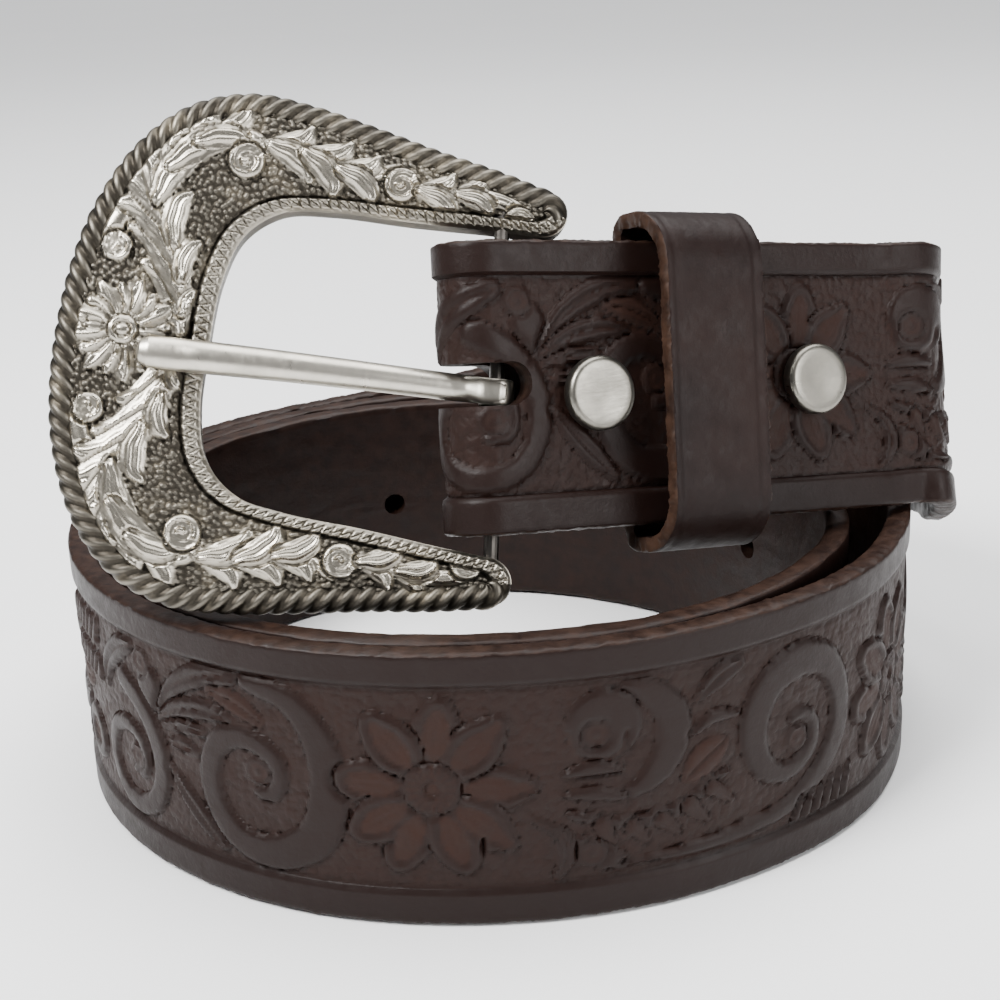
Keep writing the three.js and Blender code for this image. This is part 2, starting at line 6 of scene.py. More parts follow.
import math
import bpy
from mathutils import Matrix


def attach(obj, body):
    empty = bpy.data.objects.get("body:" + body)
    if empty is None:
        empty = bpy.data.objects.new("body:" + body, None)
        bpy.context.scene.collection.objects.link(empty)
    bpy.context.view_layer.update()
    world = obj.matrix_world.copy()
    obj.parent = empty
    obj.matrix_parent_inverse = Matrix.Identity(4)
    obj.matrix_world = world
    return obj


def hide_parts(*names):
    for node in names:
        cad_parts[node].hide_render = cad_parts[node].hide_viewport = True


bl_info = {
    "name": "Western Tooled Belt",
    "version": (1, 0, 0),
    "blender": (4, 5, 0),
    "location": "View3D > Sidebar > Belt",
    "description": "Builds the detailed leather and metal pieces of a coiled western belt",
    "category": "Add Mesh",
}

import bmesh
import bpy
import numpy as np
from mathutils import Matrix, Vector

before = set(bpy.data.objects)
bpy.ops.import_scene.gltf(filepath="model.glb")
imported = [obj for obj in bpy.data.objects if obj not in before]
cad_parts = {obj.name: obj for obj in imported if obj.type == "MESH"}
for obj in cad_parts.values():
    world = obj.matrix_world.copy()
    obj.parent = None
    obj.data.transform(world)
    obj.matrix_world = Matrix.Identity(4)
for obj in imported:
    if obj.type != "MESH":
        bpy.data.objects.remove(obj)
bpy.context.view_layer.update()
MM = 0.001
WELD = 0.004 * MM
MIRROR = np.array([1, -1])

# Strap and coil
STRAP_WIDTH = 38.0
LEATHER = 3.3
LAYER_PITCH = LEATHER + 0.35
CLEARANCE = 0.3
COIL_RADIUS = 63.0
ROW_SHIFT = np.array([-5.040, -2.559, 0.003])
END_LENGTH = 80.0
END_LEAN = math.radians(15.0)
LEAN_FADE = 40.0
FOLD_START = 3.3
FOLD_SPACE = 5.4
FOLD_HOLD = 4.4
FOLD_TAPER = 5.0
TAB_LENGTH = 66.0
TAB_GAP = 3.0
TIP_TURN = 928.0
TIP_ROUND = 24.0
HOLE_RADIUS = 2.0
FIRST_HOLE = 96.4
HOLE_SPACING = 25.4
HOLE_COUNT = 5
SLOT_END = 13.5
SLOT_WIDTH = 5.6
SLOT_RISE = 0.5
HOLE_STEPS = (-1, -0.5, 0, 0.5, 1)
TIP_BLUNT = math.radians(80)
LOOP_RADIUS = (FOLD_SPACE + LEATHER) / 2
LOOP_CENTRE = FOLD_START + LOOP_RADIUS + LEATHER / 2
EDGE_CORNER = 0.17
BACK_CELL = 1.4

# Lengths from the fold at which the strap's four pieces meet
TAB_RUN = -24.0
RISE_RUN = 28.2
FRONT_RUN = 236.0
INNER_RUN = 532.0

# Turn round the coil in degrees, radius as a share of COIL_RADIUS, layers in from it, lift in strap widths
COIL_ROWS = [
    (4, 1.12, 0, 0.78), (10, 1.15, 0, 0.73), (20, 1.168, 0, 0.65), (32, 1.175, 0, 0.56), (45, 1.155, 0, 0.45),
    (58, 1.111, 0, 0.33), (72, 1.066, 0, 0.2), (85, 1.037, 0, 0.1), (98, 1.022, 0, 0.04), (120, 1.02, 0, 0),
    (140, 1.02, 0, 0), (160, 1.0, 0, 0), (180, 0.975, 0, 0), (210, 0.973, 0, 0), (240, 0.967, 0, 0),
    (270, 0.954, 0, 0), (300, 0.967, 0, 0), (330, 0.998, 0, 0), (360, 0.998, 0, 0), (390, 0.966, 0, 0),
    (420, 0.95, 0, 0), (458, 1.022, 1, 0), (480, 1.02, 1, 0), (500, 1.02, 1, 0), (520, 1.0, 1, 0),
    (540, 0.975, 1, 0), (570, 0.973, 1, 0), (600, 0.967, 1, 0), (630, 0.954, 1, 0), (660, 0.965, 1.05, 0),
    (690, 0.955, 1.2, 0), (720, 0.9, 1.4, 0), (750, 0.89, 1.5, 0), (780, 0.92, 1.8, 0), (818, 0.985, 2, 0),
    (860, 1.02, 2, 0), (880, 1.0, 2, 0), (900, 0.975, 2, 0), (930, 0.973, 2, 0),
]

# Keeper and snaps
KEEPER_PLACE = 37.2
KEEPER_WIDTH = 15.4
KEEPER_LEATHER = 2.2
KEEPER_ROOM = 5.7
KEEPER_SLACK = 1.5
SNAP_PLACES = [(22.6, -1.2), (57.4, -0.3)]
CAP_RADIUS = 4.9
CAP_HEIGHT = 2.3
POST_RADIUS = 1.6
SOCKET_RADIUS = 3.8
STUD_RADIUS = 4.0
STUD_HEIGHT = 1.5

# Buckle
BAR_PLACE = 11.4
BAR_DEPTH = LEATHER + FOLD_SPACE / 2
BAR_RADIUS = 1.0
BAR_SKEW = math.radians(7.0)
BAR_TILT = math.radians(1.2)
BUCKLE_SHIFT = -0.7
BUCKLE_REACH = 57.6
BUCKLE_HALF = 34.0
PLATE_BACK = -2.3
PLATE_DEPTH = 4.4
PLATE_TOP = PLATE_BACK + PLATE_DEPTH
ROPE_RADIUS = 1.9
PLATE_INSET = 2.4
RELIEF = 0.9
RIM_WIDTH = 2.5
TOOTH_PITCH = 1.25
STRAND = 2.2
STRAND_LOBES = 4
TONGUE_LENGTH = 46.4
TONGUE_SKEW = math.radians(3.5)
TONGUE_RADIUS = 2.15
TONGUE_FLAT = 0.85
HOOD_HEIGHT = 1.93
RING_RADIUS = 2.35
RING_WIDTH = 3.6
OUTER_ROWS = [
    (0.04, 0.83), (-0.067, 0.868), (-0.208, 0.905), (-0.368, 0.955), (-0.518, 0.995), (-0.654, 1.0),
    (-0.786, 0.915), (-0.889, 0.735), (-0.959, 0.48), (-0.989, 0.24), (-0.997, 0.0),
]
WINDOW_ROWS = [
    (-0.654, 0.0), (-0.649, 0.25), (-0.617, 0.435), (-0.541, 0.55), (-0.434, 0.585), (-0.246, 0.6),
    (-0.086, 0.62),
]
END_CAP = (0.04, 0.73, 0.1)


def unit(vectors):
    return vectors / np.linalg.norm(vectors, axis=-1, keepdims=True)


def axes(yaw, lean, turn):
    """Along, across and out of a flat end turned by these angles in degrees, as the columns of a matrix."""
    yaw, lean, turn = (math.radians(angle) for angle in (yaw, lean, turn))
    out = np.array([
        math.sin(yaw) * math.cos(lean), -math.cos(yaw) * math.cos(lean), math.sin(lean),
    ])
    level = unit(np.cross([0, 0, 1], out))
    rise = np.cross(out, level)
    return np.stack([
        level * math.cos(turn) + rise * math.sin(turn), rise * math.cos(turn) - level * math.sin(turn), out,
    ], axis=1)


END = axes(27.7, 15.0, -7.3)
END_ORIGIN = np.array([-0.076 * COIL_RADIUS, -0.705 * COIL_RADIUS, 66.504]) + ROW_SHIFT
BUCKLE = axes(6.0, 23.5, -13.5)
BAR_CENTRE = END_ORIGIN + END @ [BAR_PLACE, 0, -BAR_DEPTH] + BUCKLE[:, 1] * BUCKLE_SHIFT


def on_end(points):
    """Points given along, across and out of the strap's end, in the row frame."""
    return END_ORIGIN + np.asarray(points, float) @ END.T


def on_buckle(points):
    """Points given in the buckle's own axes, in the row frame."""
    return BAR_CENTRE + np.asarray(points, float) @ BUCKLE.T


def smooth(low, high, value):
    share = np.clip((np.asarray(value, float) - low) / (high - low), 0, 1)
    return share * share * (3 - 2 * share)


def ray(degrees):
    return np.array([math.cos(math.radians(degrees)), math.sin(math.radians(degrees))])


def turned(angle, first, second):
    """A turn by an angle in radians from one axis towards another."""
    turn = np.eye(3)
    turn[first, first] = turn[second, second] = math.cos(angle)
    turn[second, first], turn[first, second] = math.sin(angle), -math.sin(angle)
    return turn


def smooth_line(points, per=12):
    """Centripetal curve through the points, with per steps between each two."""
    points = np.asarray(points, float)
    points = np.concatenate([[2 * points[0] - points[1]], points, [2 * points[-1] - points[-2]]])
    line = []
    t = (np.arange(per) / per)[:, None]
    for index in range(1, len(points) - 2):
        before, start, end, after = points[index - 1:index + 3]
        gaps = [max(float(np.linalg.norm(b[:3] - a[:3])) ** 0.5, 1e-4)
                for a, b in ((before, start), (start, end), (end, after))]
        leave = ((start - before) / gaps[0] - (end - before) / (gaps[0] + gaps[1])
                 + (end - start) / gaps[1]) * gaps[1]
        reach = ((end - start) / gaps[1] - (after - start) / (gaps[1] + gaps[2])
                 + (after - end) / gaps[2]) * gaps[1]
        line.append((2 * t ** 3 - 3 * t * t + 1) * start + (t ** 3 - 2 * t * t + t) * leave
                    + (-2 * t ** 3 + 3 * t * t) * end + (t ** 3 - t * t) * reach)
    line.append(points[-2][None])
    return np.concatenate(line)


def lengths(line):
    return np.concatenate([[0], np.cumsum(np.linalg.norm(np.diff(line, axis=0), axis=1))])


def along_line(line, places):
    """Points at these lengths along a line."""
    run = lengths(line)
    return np.stack([np.interp(places, run, line[:, axis]) for axis in range(line.shape[1])], -1)


def coil_value(column, turn):
    """A smooth curve through one column of the coil's rows, flat wherever the column turns round."""
    rows = COIL_ROWS

    def slope(index):
        if index < 1 or index > len(rows) - 2:
            return 0.0
        before = (rows[index][column] - rows[index - 1][column]) / (rows[index][0] - rows[index - 1][0])
        after = (rows[index + 1][column] - rows[index][column]) / (rows[index + 1][0] - rows[index][0])
        return 0.0 if before * after <= 0 else 2 * before * after / (before + after)

    last = max(1, next(index for index, row in enumerate(rows) if row[0] >= turn))
    first, second = rows[last - 1], rows[last]
    span = second[0] - first[0]
    t = (turn - first[0]) / span
    share = t * t * (3 - 2 * t)
    ease = t * (1 - t) ** 2 * slope(last - 1) - t * t * (1 - t) * slope(last)
    return first[column] * (1 - share) + second[column] * share + ease * span


def coil_point(turn):
    radius = COIL_RADIUS * coil_value(1, turn) - LAYER_PITCH * coil_value(2, turn)
    angle = math.radians(turn)
    height = STRAP_WIDTH * (0.5 + coil_value(3, turn))
    return np.array([radius * math.cos(angle), radius * math.sin(angle), height]) + ROW_SHIFT


def strap_line():
    """The strap's middle line from the folded tab to the tip, and the length at which the fold ends."""
    tab_depth = -LEATHER / 2 - LEATHER - TAB_GAP
    loop_depth = -LEATHER / 2 - 2 * LOOP_RADIUS
    taper_end = LOOP_CENTRE + FOLD_HOLD + FOLD_TAPER
    fold = [(TAB_LENGTH + (taper_end - TAB_LENGTH) * step / 24, 0, tab_depth) for step in range(24)]
    fold += [(taper_end - FOLD_TAPER * step / 10, 0,
              tab_depth + (loop_depth - tab_depth) * smooth(0, 10, step)) for step in range(10)]
    fold += [(taper_end - FOLD_TAPER - FOLD_HOLD * step / 8, 0, loop_depth) for step in range(8)]
    fold += [(LOOP_CENTRE - LOOP_RADIUS * math.sin(math.pi * step / 40), 0,
              -LEATHER / 2 - LOOP_RADIUS * (1 + math.cos(math.pi * step / 40))) for step in range(40)]
    step = (END_LENGTH - LOOP_CENTRE) / 8
    guides = [on_end([LOOP_CENTRE + step * count, 0, -LEATHER / 2]) for count in range(8)]
    guides.append(on_end([END_LENGTH, 0, -LEATHER / 2]))
    guides += [coil_point(turn) for turn in np.arange(COIL_ROWS[0][0], TIP_TURN - 2.5, 5)]
    guides.append(coil_point(TIP_TURN))
    line = np.concatenate([on_end(fold), smooth_line(guides, 24)])
    return line, lengths(line)[len(fold)]


STRAP_LINE, FOLD_RUN = strap_line()
STRAP_RUN = lengths(STRAP_LINE) - FOLD_RUN
TIP_RUN = STRAP_RUN[-1]


def strap_place(run):
    """Middle point, across and outward of the strap at each length from the end of its fold."""
    run = np.asarray(run, float)

    def point(places):
        return np.stack([np.interp(places, STRAP_RUN, STRAP_LINE[:, axis]) for axis in range(3)], -1)

    ahead = unit(point(run + 1.8) - point(run - 1.8))
    leant = TAB_LENGTH - LOOP_CENTRE
    lean = (END_LEAN * (1 - smooth(leant, leant + LEAN_FADE, run)))[..., None]
    level = unit(np.cross(ahead, [0, 0, 1]))
    across = np.array([0, 0, 1.0]) * np.cos(lean) - level * np.sin(lean)
    flat = (1 - smooth(0, 30, run))[..., None]
    across = across * (1 - flat) + END[:, 1] * flat
    across = unit(across - ahead * np.sum(across * ahead, -1, keepdims=True))
    return point(run), across, np.cross(ahead, across)


def strap_points(run, across, out):
    """Points of the strap's surface at lengths, heights across the width, and distances out of the middle."""
    place, up, outward = strap_place(run)
    return place + up * np.asarray(across)[..., None] + outward * np.asarray(out)[..., None]


# Raised and cut work

class Chart:
    """A height map in millimetres, with a colour share, on which raised forms are laid one over another."""

    def __init__(self, left, low, width, height, fine, ground, seed):
        self.left, self.low, self.fine = left, low, fine
        self.columns, self.rows = round(width * fine), round(height * fine)
        self.x = left + (np.arange(self.columns) + 0.5) / fine
        self.y = low + (np.arange(self.rows) + 0.5) / fine
        self.height = np.full((self.rows, self.columns), float(ground))
        self.colour = np.full((self.rows, self.columns), 1.0)
        self.random = np.random.default_rng(seed)

    def window(self, points, reach):
        """The part of the chart that lies within reach of the points."""
        low, high = points.min(0) - reach, points.max(0) + reach
        left, right = np.searchsorted(self.x, [low[0], high[0]])
        bottom, top = np.searchsorted(self.y, [low[1], high[1]])
        return slice(bottom, top), slice(left, right)

    def stroke(self, points, widths, top=0.0, colour=0.0, shoulder=0.3, cut=0.95, spread=0.9, streaks=0.0,
               crown=0.0):
        """A raised form of varying width along a line, with a groove cut round it."""
        line = np.asarray(points, float)
        widths = np.interp(np.linspace(0, 1, len(line)), np.linspace(0, 1, len(widths)), widths)
        line = np.column_stack([line[:, 0], line[:, 1], np.zeros(len(line)), widths])
        if len(line) > 2:
            line = smooth_line(line, 8)
        run = lengths(line[:, :2])
        line = along_line(line, np.linspace(0, run[-1], max(2, round(run[-1] / 0.3))))
        run = lengths(line[:, :2])
        reach = line[:, 3].max() / 2 + spread + 0.3
        rows, columns = self.window(line[:, :2], reach)
        x, y = np.meshgrid(self.x[columns], self.y[rows])
        if not x.size:
            return
        edge = np.full(x.shape, 1e3)
        place = np.zeros(x.shape)
        offset = np.zeros(x.shape)
        heading = unit(np.gradient(line[:, :2], axis=0))
        for (px, py, _, wide), length, (hx, hy) in zip(line, run, heading):
            away = np.hypot(x - px, y - py) - wide / 2
            nearer = away < edge
            edge[nearer] = away[nearer]
            place[nearer] = length
            side = (y - py) * hx - (x - px) * hy
            offset[nearer] = (side / max(wide / 2, 0.2))[nearer]
        height, shade = self.height[rows, columns], self.colour[rows, columns]
        inside = edge < 0
        form = top - shoulder * np.exp(edge / 0.33) + crown * (1 - np.clip(np.abs(offset), 0, 1) ** 2)
        if streaks:
            form = form - streaks * (0.5 + 0.5 * np.cos(offset * 9.0 + 0.35 * np.sin(place * 2.1)))
        height[inside] = form[inside]
        shade[inside] = colour
        round_it = (edge >= 0) & (edge < spread)
        groove = -cut + cut * np.clip(edge / spread, 0, 1) ** 0.8
        height[round_it] = np.minimum(height, groove)[round_it]

    def disc(self, centre, radius, **finish):
        self.stroke([centre, (centre[0] + 0.05, centre[1])], [2 * radius] * 2, **finish)

    def eye(self, centre):
        """A small ring with a dot in it."""
        self.disc(centre, 1.9, top=-0.1, colour=0.25, cut=0.7, spread=0.4)
        self.disc(centre, 1.2, top=-0.36, colour=0.7, shoulder=0.0, cut=0.45, spread=0.3)
        self.disc(centre, 0.6, top=-0.06, colour=0.3, cut=0.4, spread=0.3)

    def pebble(self, size, rise):
        """Small round bumps all over the ground."""
        across = math.ceil(self.columns / self.fine / size) + 2
        down = math.ceil(self.rows / self.fine / size) + 2
        shift = self.random.uniform(-0.38, 0.38, (down, across, 2))
        x, y = np.meshgrid(self.x, self.y)
        column = ((x - self.left) / size).astype(int)
        row = ((y - self.low) / size).astype(int)
        nearest = np.full(x.shape, 1e3)
        for step_y in (-1, 0, 1):
            for step_x in (-1, 0, 1):
                c = np.clip(column + step_x, 0, across - 1)
                r = np.clip(row + step_y, 0, down - 1)
                px = self.left + (c + 0.5 + shift[r, c, 0]) * size
                py = self.low + (r + 0.5 + shift[r, c, 1]) * size
                nearest = np.minimum(nearest, np.hypot(x - px, y - py))
        self.height += rise * (1 - np.clip(nearest / (0.62 * size), 0, 1) ** 2) * 2 - rise

    def sample(self, grid, x, y):
        """Values of a grid between its cells."""
        column = np.clip((np.asarray(x) - self.left) * self.fine - 0.5, 0, self.columns - 1.001)
        row = np.clip((np.asarray(y) - self.low) * self.fine - 0.5, 0, self.rows - 1.001)
        left, low = column.astype(int), row.astype(int)
        right, up = column - left, row - low
        return ((grid[low, left] * (1 - right) + grid[low, left + 1] * right) * (1 - up)
                + (grid[low + 1, left] * (1 - right) + grid[low + 1, left + 1] * right) * up)


TILE_START = 330.0
TILE_LENGTH = 170.0
GROUND = -0.6
BORDER = 13.9
PLAIN = 0.06


def flower(chart, centre, angles, far):
    """A round flower: broad outer petals with a streaked inner petal each, round a ringed centre."""
    centre = np.array(centre)
    petals = list(zip(angles, far))
    for angle, reach in petals[::2] + petals[1::2]:
        line = [centre + ray(angle) * r for r in (3.4, 5.4, 7.4, 9.6, 12.0, reach + 0.6)]
        chart.stroke(line, [2.4, 5.2, 6.6, 5.2, 2.6, 0.4], top=0.02, colour=0.25)
    for angle, reach in petals:
        line = [centre + ray(angle) * r for r in (4.4, 6.2, 8.2, 10.0, reach - 1.6)]
        chart.stroke(line, [1.0, 2.9, 3.3, 2.0, 0.4], top=-0.22, colour=0.95, shoulder=-0.1, cut=0.55,
                     spread=0.5, streaks=0.22)
    chart.disc(centre, 3.6, top=0.05, colour=0.25, cut=0.9, crown=-0.25)
    for step in range(16):
        along = ray(22.5 * step)
        chart.stroke([centre + along * 1.5, centre + along * 3.0], [0.35, 0.5], top=-0.38, colour=0.8,
                     shoulder=0.0, cut=0.0, spread=0.1)
    chart.disc(centre, 1.0, top=-0.5, colour=0.9, cut=0.5, spread=0.4)


def leaf(chart, points, widths, veins=False, colour=0.15, top=0.0):
    """A pointed leaf, with a cut vein down its middle where asked."""
    chart.stroke(points, widths, top=top, colour=colour)
    if veins:
        chart.stroke(points, [0.25] * 2, top=top - 0.42, colour=0.8, shoulder=0.0, cut=0.42 - top, spread=0.5)


def tooled_tile():
    """One repeat of the strap's tooling, along the strap and across its width."""
    chart = Chart(TILE_START, -STRAP_WIDTH / 2, TILE_LENGTH, STRAP_WIDTH, 6, GROUND, 11)
    chart.colour[:] = 0.5
    chart.pebble(1.1, 0.06)
    chart.stroke([(337.5, 7), (342, 4), (345, -1), (345, -6), (342, -10.5), (337, -11.8), (333, -9.5),
                  (331.8, -5.5), (333.5, -1.5), (337, 0), (340.5, -1), (341.5, -4), (340.5, -6.3),
                  (338.5, -6.3)],
                 [3.4, 3.6, 3.4, 3.2, 2.8, 2.5, 2.2, 2, 1.5], colour=0.1)
    chart.eye((339.2, -4.2))
    leaf(chart, [(345.8, 4.2), (344.4, 7), (343.9, 9.6)], [1.4, 3.4, 6.2])
    chart.eye((342.6, 11.0))
    for line, widths in (
        ([(345.6, 4), (349, 9), (354, 12), (359, 13.2), (363, 13.2)], [1.2, 2.6, 3.4, 2.8, 0.8]),
        ([(346, 4), (350, 6.3), (355, 7.4), (359.5, 7)], [1.0, 2.6, 2.8, 0.8]),
        ([(346.6, 3), (351, 3.9), (356, 4)], [1.0, 2.0, 0.8]),
        ([(347, 0.9), (351, 1), (354, 0.3)], [0.8, 1.9, 0.8]),
        ([(347.5, -3), (350, -6), (353, -9), (357, -12.8)], [1.0, 2.6, 3.0, 1.0]),
        ([(331.5, 4), (333, 8), (337, 11.4), (341, 13)], [1.0, 3.2, 3.4, 1.0]),
    ):
        leaf(chart, line, widths, veins=True)
    leaf(chart, [(356, 10.4), (360, 9.6), (364.6, 7.2)], [1.2, 3.2, 1.4], True, 0.9, -0.25)
    chart.stroke([(362.5, 13), (368.75, 10.9), (372.5, 4.6), (372.8, -2.3), (370.6, -7.9), (364.4, -11),
                  (358.75, -9.75), (355.6, -5.4), (355.3, -0.4), (357.5, 3.7), (361.25, 4.9), (365, 3.4),
                  (366.25, 0.25), (365, -2.25), (362.8, -2.6)],
                 [2.6, 3.6, 5.0, 5.5, 5.4, 4.6, 4, 3.7, 3.6, 3.3, 3, 2.6, 2.2, 1.6], colour=0.1)
    chart.eye((363.1, 0.5))
    flower(chart, (386.1, 0.4), (0, 46, 83, 128, 175, 214, 246, 290, 320),
           (15.2, 15.4, 13.4, 14.0, 11.9, 13.0, 13.4, 13.4, 15.2))
    chart.stroke([(408.6, 12.2), (413.6, 11.4), (416.6, 7.6), (416.4, 3.4), (413.8, -0.4), (409.8, -2.6)],
                 [1.6, 3.4, 4.6, 4.6, 3.4, 1.2], colour=0.15)
    chart.disc((407.6, 7.8), 4.9, colour=0.15)
    chart.stroke([(403, 7.4), (404.2, 3.9), (407, 2.8), (409.8, 4.0), (410.6, 6.6)], [0.4, 0.5, 0.4],
                 top=-0.5, colour=0.7, shoulder=0.0, cut=0.5, spread=0.5)
    chart.eye((406.6, 6.8))
    leaf(chart, [(402.6, 1.6), (406, 2), (410, 1.4)], [0.9, 2.0, 0.8])
    leaf(chart, [(402.8, -1.4), (406.5, -1.6), (410.4, -2.6)], [0.9, 2.0, 0.8])
    leaf(chart, [(403.1, -4.1), (406.9, -5.4), (411.9, -6.4), (417.5, -5.7), (422.5, -3.2), (424.6, -2)],
         [1.0, 1.6, 1.9, 1.9, 1.5, 0.8])
    for root, tip in (((407.2, -6.2), (408.6, -9.4)), ((411.2, -7.2), (413.2, -9.6)),
                      ((415.2, -7), (417.6, -9.2)), ((419, -5.8), (421.8, -8.6)), ((422.4, -4.2), (425.4, -6.6))):
        leaf(chart, [root, tip], [2.3, 0.9], colour=0.5, top=-0.1)
    leaf(chart, [(404.4, -8.4), (406.4, -10.2), (411.8, -12.4)], [2.4, 3.6, 1.0])
    chart.eye((405.8, -9.9))
    leaf(chart, [(398.6, -4.4), (402, -7), (402.5, -10.5), (401, -13)], [0.8, 2.0, 2.2, 1.0], True)
    leaf(chart, [(418.6, -1.6), (421.2, 0.4), (424.6, 2.6)], [1.6, 4.6, 1.6], True, 0.9, -0.2)
    leaf(chart, [(419.4, 4.4), (422.5, 6), (426.4, 5.6)], [0.8, 2.0, 0.8])
    leaf(chart, [(420, 9), (423.4, 11.6), (427.4, 13)], [1.0, 3.2, 1.0], True)
    chart.stroke([(410, -12), (418, -12), (426, -11.6), (434, -10.7), (440, -7.6), (444, -2.5), (444.2, 3.5),
                  (441.2, 8.6), (436.5, 10.2), (431.8, 8.6), (429, 4.5), (428.9, -0.5), (431.3, -4.3),
                  (435, -5.3), (438.6, -3), (439, 0.5), (437, 2.4), (434.8, 2)],
                 [0.5, 1.5, 2.2, 2.6, 3.4, 3.8, 3.9, 4.4, 5.2, 5, 4.8, 4, 3.4, 2.8, 2.4, 2, 1.8, 1.4],
                 colour=0.1)
    chart.eye((436.0, -1.0))
    for step in range(6):
        leaf(chart, [(436 + 2 * step, -13.2), (437.2 + 2 * step, -10.4 + 0.3 * step)], [1.5, 0.8])
    flower(chart, (460, -0.5), (20, 62, 103, 146, 186, 224, 262, 303, 341),
           (13.2, 13.8, 13.4, 13.6, 12.4, 13.2, 12.8, 13.6, 13.0))
    leaf(chart, [(474, 0), (479, 4.4), (484, 9), (487, 12.6)], [1.0, 3.8, 4.2, 1.2], True)
    leaf(chart, [(474.4, -3), (480, -4.6), (486, -4.2), (490, -1.6)], [1.0, 4.2, 4.4, 1.4], True)
    leaf(chart, [(473.4, -7), (478, -11), (484, -12.6)], [1.0, 3.6, 1.2], True)
    leaf(chart, [(485, 3), (489.5, 1), (494, 1.6)], [1.0, 3.6, 1.2], True, 0.9, -0.2)
    chart.disc((493.4, -6.6), 4.2, top=0.0, colour=0.12)
    chart.disc((493.4, -6.6), 2.0, top=-0.3, colour=0.9, shoulder=-0.1, cut=0.5, spread=0.5, streaks=0.2)
    for step in range(7):
        leaf(chart, [(486 + 2 * step, 9.4), (487.4 + 2 * step, 12.8)], [1.8, 1.0], colour=0.4)
        leaf(chart, [(486.6 + 2 * step, 4.2), (488 + 2 * step, 7.2)], [1.8, 1.0], colour=0.4)
    from_middle = np.abs(chart.y - 0.2)
    band = from_middle > BORDER
    chart.height[band] = 0.0
    chart.colour[band] = PLAIN
    edge = np.abs(from_middle - BORDER)[:, None]
    chart.height[:] = np.minimum(chart.height, np.where(edge < 0.65, -0.9 * (1 - edge / 0.65), 9.0))
    return chart


